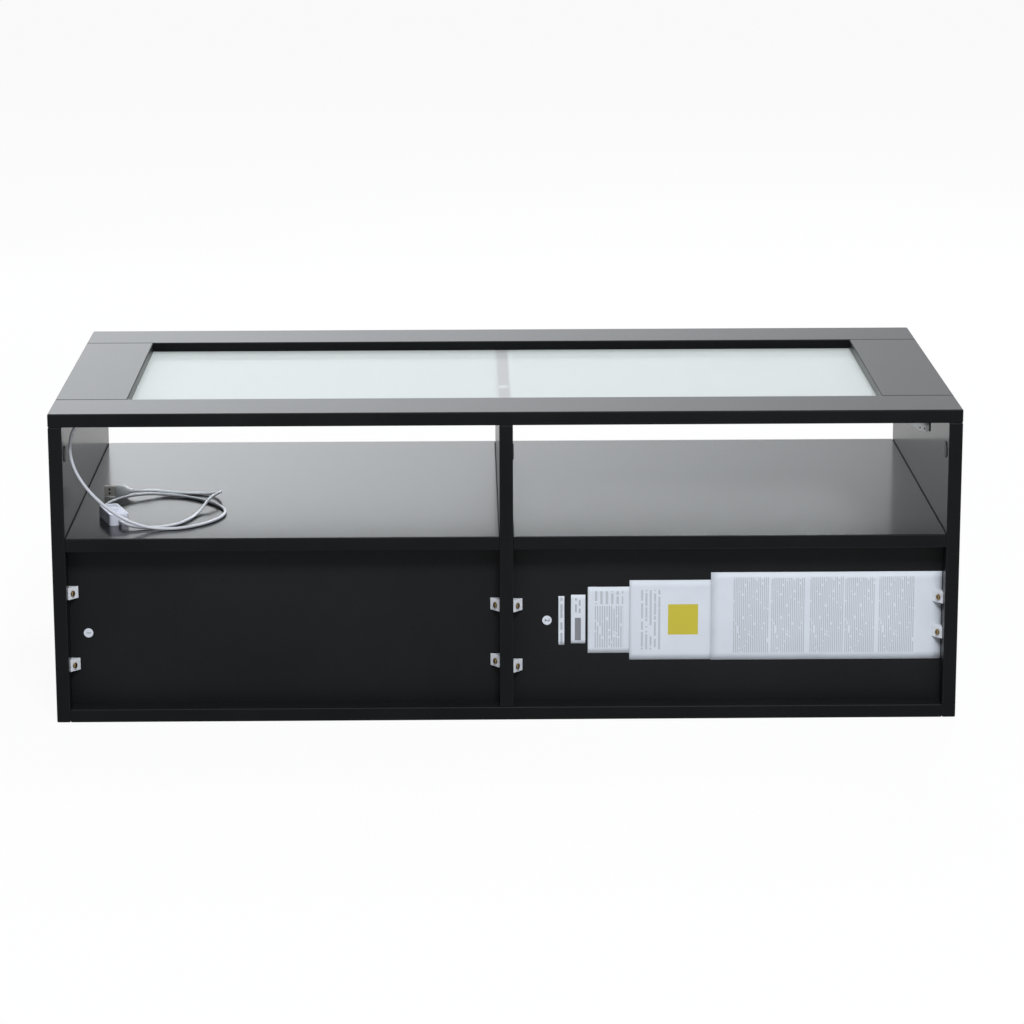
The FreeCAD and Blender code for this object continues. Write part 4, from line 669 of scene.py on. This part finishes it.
# Light chips: white moulded packages soldered along the tape, each with a round dish of yellow phosphor
# in the face that looks down.
CHIP_FACE = 0.3328
CHIP_TALL, CHIP_SIDE, CHIP_EASE = 0.0014, 0.005, 0.0002
DISH_RADIUS, DISH_FLOOR, DISH_DEEP = 0.0018, 0.8, 0.0002
PHOSPHOR_DARK, PHOSPHOR_LIGHT = (0.70, 0.52, 0.06, 1), (0.82, 0.66, 0.14, 1)
chip_low, chip_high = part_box("led_chips")
chip_count = round((chip_high.x - chip_low.x - CHIP_SIDE) / CHIP_PITCH) + 1
phosphor, tree, skin = finish_of("phosphor", Roughness=0.3, Coat_Weight=0.6)
place = add(tree, "TexCoord").outputs["Object"]
cells = add(tree, "TexNoise", Vector=place, Scale=2400, Detail=2).outputs[0]
plug(tree, blended(tree, cells, PHOSPHOR_DARK, PHOSPHOR_LIGHT), skin["Base Color"])
shape = bmesh.new()
chip_size = Matrix.Diagonal((CHIP_SIDE, CHIP_SIDE, CHIP_TALL, 1))
for index in range(chip_count):
    x = chip_low.x + CHIP_SIDE / 2 + CHIP_PITCH * index
    middle = Matrix.Translation((x, STRIP_MIDDLE, CHIP_FACE + CHIP_TALL / 2))
    package = bmesh.ops.create_cube(shape, size=1, matrix=middle @ chip_size)
    edges = {edge for vert in package["verts"] for edge in vert.link_edges}
    bmesh.ops.bevel(
        shape, geom=list(edges), offset=CHIP_EASE, segments=1, profile=0.5, affect="EDGES", material=-1)
    dish = bmesh.ops.create_cone(
        shape, cap_ends=True, segments=20, radius1=DISH_RADIUS * DISH_FLOOR, radius2=DISH_RADIUS,
        depth=DISH_DEEP, matrix=Matrix.Translation((x, STRIP_MIDDLE, CHIP_FACE)))
    for face in {face for vert in dish["verts"] for face in vert.link_faces}:
        face.material_index = 1
chips = put_on_show("light_chips", shape)
chips.data.materials.append(white_plastic)
chips.data.materials.append(phosphor)
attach(chips, "carcass")
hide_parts("led_chips")

# Solder cover: a short sleeve of clear heat-shrink over the joint between the strip and its lead, at the
# strip's left end.
heat_shrink = plastic(
    "heat_shrink", dark=(0.58, 0.59, 0.60, 1), light=(0.70, 0.71, 0.72, 1),
    smooth=0.25, rough=0.40, depth=0.00008, Transmission_Weight=0.25)
dress(heat_shrink, "solder_cover")

# Leads: limp two-core leads with a white jacket, 3.5 mm thick. The first runs from the strip down the
# left wall, round a loop on the deck and into the switch; the second goes from the switch to the plug.
LEAD_THICK, SMOOTHNESS = 0.0035, 10
JACKET_DARK, JACKET_LIGHT = (0.52, 0.53, 0.58, 1), (0.58, 0.59, 0.63, 1)
LED_ROUTE = (
    (-0.45600, -0.21200, 0.33280), (-0.46450, -0.21200, 0.33280), (-0.47230, -0.21250, 0.32980),
    (-0.47740, -0.21350, 0.32250), (-0.48000, -0.21450, 0.31100), (-0.48020, -0.21550, 0.29900),
    (-0.47750, -0.21650, 0.28600), (-0.47080, -0.21750, 0.27100), (-0.45900, -0.21800, 0.25450),
    (-0.44300, -0.21750, 0.23850), (-0.42350, -0.21600, 0.22400), (-0.40300, -0.21400, 0.21500),
    (-0.38200, -0.21250, 0.21175), (-0.36100, -0.20900, 0.21175), (-0.34150, -0.19400, 0.21175),
    (-0.32550, -0.17200, 0.21175), (-0.31700, -0.14750, 0.21175), (-0.31650, -0.12400, 0.21175),
    (-0.32400, -0.10150, 0.21175), (-0.33700, -0.08250, 0.21175), (-0.35150, -0.06650, 0.21175),
    (-0.36650, -0.05450, 0.21175), (-0.38100, -0.04750, 0.21230), (-0.39600, -0.04550, 0.21300),
    (-0.40900, -0.04800, 0.21400), (-0.42100, -0.05450, 0.21470), (-0.43300, -0.06500, 0.21500),
    (-0.44300, -0.07900, 0.21520), (-0.45050, -0.09500, 0.21520), (-0.45380, -0.11000, 0.21520),
    (-0.45272, -0.12225, 0.21520), (-0.44842, -0.13452, 0.21520),
)
USB_ROUTE = (
    (-0.43058, -0.18548, 0.21520), (-0.42760, -0.19398, 0.21520), (-0.42200, -0.20150, 0.21460),
    (-0.41300, -0.20550, 0.21320), (-0.40200, -0.20600, 0.21200), (-0.38900, -0.20400, 0.21175),
    (-0.37550, -0.19800, 0.21175), (-0.36400, -0.18600, 0.21175), (-0.35600, -0.16900, 0.21175),
    (-0.35000, -0.15000, 0.21175), (-0.34550, -0.13100, 0.21250), (-0.34150, -0.11400, 0.21550),
    (-0.33750, -0.09900, 0.21900), (-0.33300, -0.08450, 0.22000), (-0.32850, -0.07100, 0.21980),
    (-0.32600, -0.05850, 0.21860), (-0.32850, -0.04800, 0.21520), (-0.33700, -0.04150, 0.21220),
    (-0.34900, -0.03850, 0.21175), (-0.36300, -0.03700, 0.21175), (-0.37800, -0.03600, 0.21200),
    (-0.39100, -0.03550, 0.21330), (-0.40200, -0.03700, 0.21520), (-0.41100, -0.04200, 0.21660),
    (-0.41950, -0.04600, 0.21700), (-0.42800, -0.04600, 0.21700),
)
lead_jacket, tree, skin = finish_of("lead_jacket", Specular_IOR_Level=0.3)
look = placed(tree, moulded, Scale=1800)
plug(tree, blended(tree, look["Tone"], JACKET_DARK, JACKET_LIGHT), skin["Base Color"])
plug(tree, ranged(tree, look["Texture"], 0.34, 0.46), skin["Roughness"])
plug(tree, raised(tree, look["Texture"], distance=0.00003, strength=0.5), skin["Normal"])


def lead(name, route, node):
    """Round lead along a smooth line that follows the points of its route."""
    curve = bpy.data.curves.new(name, "CURVE")
    curve.dimensions = "3D"
    curve.bevel_depth = LEAD_THICK / 2
    curve.bevel_resolution = 5
    curve.use_fill_caps = True
    curve.resolution_u = SMOOTHNESS
    spline = curve.splines.new("NURBS")
    spline.points.add(len(route) - 1)
    for point, place in zip(spline.points, route):
        point.co = (*place, 1)
    spline.order_u = 3
    spline.use_endpoint_u = True
    spline.resolution_u = SMOOTHNESS
    curve.materials.append(lead_jacket)
    piece = bpy.data.objects.new(name, curve)
    scene.collection.objects.link(piece)
    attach(piece, "carcass")
    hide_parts(node)
    return piece


led_lead = lead("light_lead", LED_ROUTE, "led_lead")
usb_lead = lead("plug_lead", USB_ROUTE, "usb_lead")

# Inline switch: two white moulded half shells clipped together round a small circuit board, with a push
# button in the top and finger ribs either side of it. It lies loose on the left deck.
SWITCH_MIDDLE, SWITCH_TURN, SWITCH_TOP = (-0.4395, -0.160, 0.210), math.radians(-70.7), 0.0127
RIB_LONG, RIB_WIDE, RIB_TALL, RIB_SUNK, RIB_EASE = 0.0165, 0.0007, 0.0005, 0.0002, 0.00022
RIB_COUNT, RIB_START, RIB_STEP = 7, 0.0105, 0.0016
switch_white = plastic(
    "switch_white", dark=(0.55, 0.57, 0.66, 1), light=(0.62, 0.63, 0.71, 1),
    smooth=0.36, rough=0.50, depth=0.00004)
dress(switch_white, "switch_lower_shell", "switch_upper_shell", "switch_button")
circuit_green = plastic(
    "circuit_green", dark=(0.02, 0.12, 0.05, 1), light=(0.03, 0.18, 0.08, 1),
    smooth=0.30, rough=0.45, depth=0.00003)
dress(circuit_green, "switch_circuit_board")
shape = bmesh.new()
switch_place = Matrix.Translation(SWITCH_MIDDLE) @ Matrix.Rotation(SWITCH_TURN, 4, "Z")
rib_size = Matrix.Diagonal((RIB_WIDE, RIB_LONG, RIB_TALL + RIB_SUNK, 1))
rib_level = SWITCH_TOP + (RIB_TALL - RIB_SUNK) / 2
for end in (-1, 1):
    for index in range(RIB_COUNT):
        along = end * (RIB_START + RIB_STEP * index)
        rib_place = switch_place @ Matrix.Translation((along, 0, rib_level))
        bar = bmesh.ops.create_cube(shape, size=1, matrix=rib_place @ rib_size)
        edges = {edge for vert in bar["verts"] for edge in vert.link_edges}
        bmesh.ops.bevel(
            shape, geom=list(edges), offset=RIB_EASE, segments=2, profile=0.5, affect="EDGES", material=-1)
ribs = put_on_show("switch_ribs", shape)
ribs.data.materials.append(switch_white)
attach(ribs, "carcass")

# Plug: a folded metal shell with two latch windows round a black tongue, in a grey soft-moulded grip that
# tapers into a ribbed strain relief. It lies on its edge on the left deck.
GRIP_START, GRIP_END, TAPER_END = -0.4485, -0.4380, -0.4325
GRIP_THICK, GRIP_WIDE, TAPER_SIZE = 0.0085, 0.0140, 0.0065
GRIP_ROUND, GRIP_EASE = 0.0018, 0.0004
LONG_RUN, SHORT_RUN = 0.001, 0.0005
CREASE, SHARP = math.radians(20), math.radians(35)
PLUG_Y, PLUG_Z = -0.046, 0.217
RELIEF_LAP = 0.0001
RELIEF_RINGS = (
    (0, 0.0031), (0.0009, 0.0031), (0.0011, 0.0025), (0.0016, 0.0025), (0.0018, 0.0029), (0.0025, 0.0028),
    (0.0027, 0.0024), (0.0032, 0.0024), (0.0034, 0.0027), (0.0043, 0.0025), (0.0045, 0.0018),
)
shape = bmesh.new()
grip_middle = Matrix.Translation(((GRIP_START + GRIP_END) / 2, PLUG_Y, PLUG_Z))
grip_size = Matrix.Diagonal((GRIP_END - GRIP_START, GRIP_THICK, GRIP_WIDE, 1))
bmesh.ops.create_cube(shape, size=1, matrix=grip_middle @ grip_size)
end_face = max(shape.faces, key=lambda face: face.calc_center_median().x)
grown = bmesh.ops.extrude_face_region(shape, geom=[end_face])["geom"]
tip = [item for item in grown if isinstance(item, bmesh.types.BMVert)]
bmesh.ops.delete(shape, geom=[end_face], context="FACES_ONLY")
bmesh.ops.translate(shape, verts=tip, vec=(TAPER_END - GRIP_END, 0, 0))
bmesh.ops.scale(
    shape, verts=tip, vec=(1, TAPER_SIZE / GRIP_THICK, TAPER_SIZE / GRIP_WIDE),
    space=Matrix.Translation((-TAPER_END, -PLUG_Y, -PLUG_Z)))
long_edges = [
    edge for edge in shape.edges if abs(edge.verts[0].co.x - edge.verts[1].co.x) > LONG_RUN
]
bmesh.ops.bevel(
    shape, geom=long_edges, offset=GRIP_ROUND, segments=4, profile=0.5, affect="EDGES", material=-1)
round_edges = [
    edge for edge in shape.edges
    if edge.calc_face_angle(0) > CREASE and abs(edge.verts[0].co.x - edge.verts[1].co.x) < SHORT_RUN
]
bmesh.ops.bevel(
    shape, geom=round_edges, offset=GRIP_EASE, segments=2, profile=0.5, affect="EDGES", material=-1)
# strain relief: three rings turned about the lead's line
profile = [
    shape.verts.new((TAPER_END + along - RELIEF_LAP, PLUG_Y, PLUG_Z + radius))
    for along, radius in RELIEF_RINGS
]
profile_edges = [shape.edges.new(pair) for pair in zip(profile, profile[1:])]
bmesh.ops.spin(
    shape, geom=profile + profile_edges, cent=(TAPER_END, PLUG_Y, PLUG_Z), axis=(1, 0, 0), angle=math.tau,
    steps=28, use_merge=True)
bmesh.ops.recalc_face_normals(shape, faces=shape.faces)
grip = put_on_show("plug_grip", shape)
for polygon in grip.data.polygons:
    polygon.use_smooth = True
grip.data.set_sharp_from_angle(angle=SHARP)
grip_grey = plastic(
    "grip_grey", dark=(0.54, 0.56, 0.57, 1), light=(0.61, 0.63, 0.64, 1),
    smooth=0.48, rough=0.62, depth=0.00006)
grip.data.materials.append(grip_grey)
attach(grip, "carcass")
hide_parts("usb_overmould")
plug_shell = metal(
    "plug_shell", dark=(0.56, 0.54, 0.49, 1), light=(0.72, 0.70, 0.65, 1),
    smooth=0.36, rough=0.50, scale=500)
dress(plug_shell, "usb_shell")
dress(black_plastic, "usb_tongue")
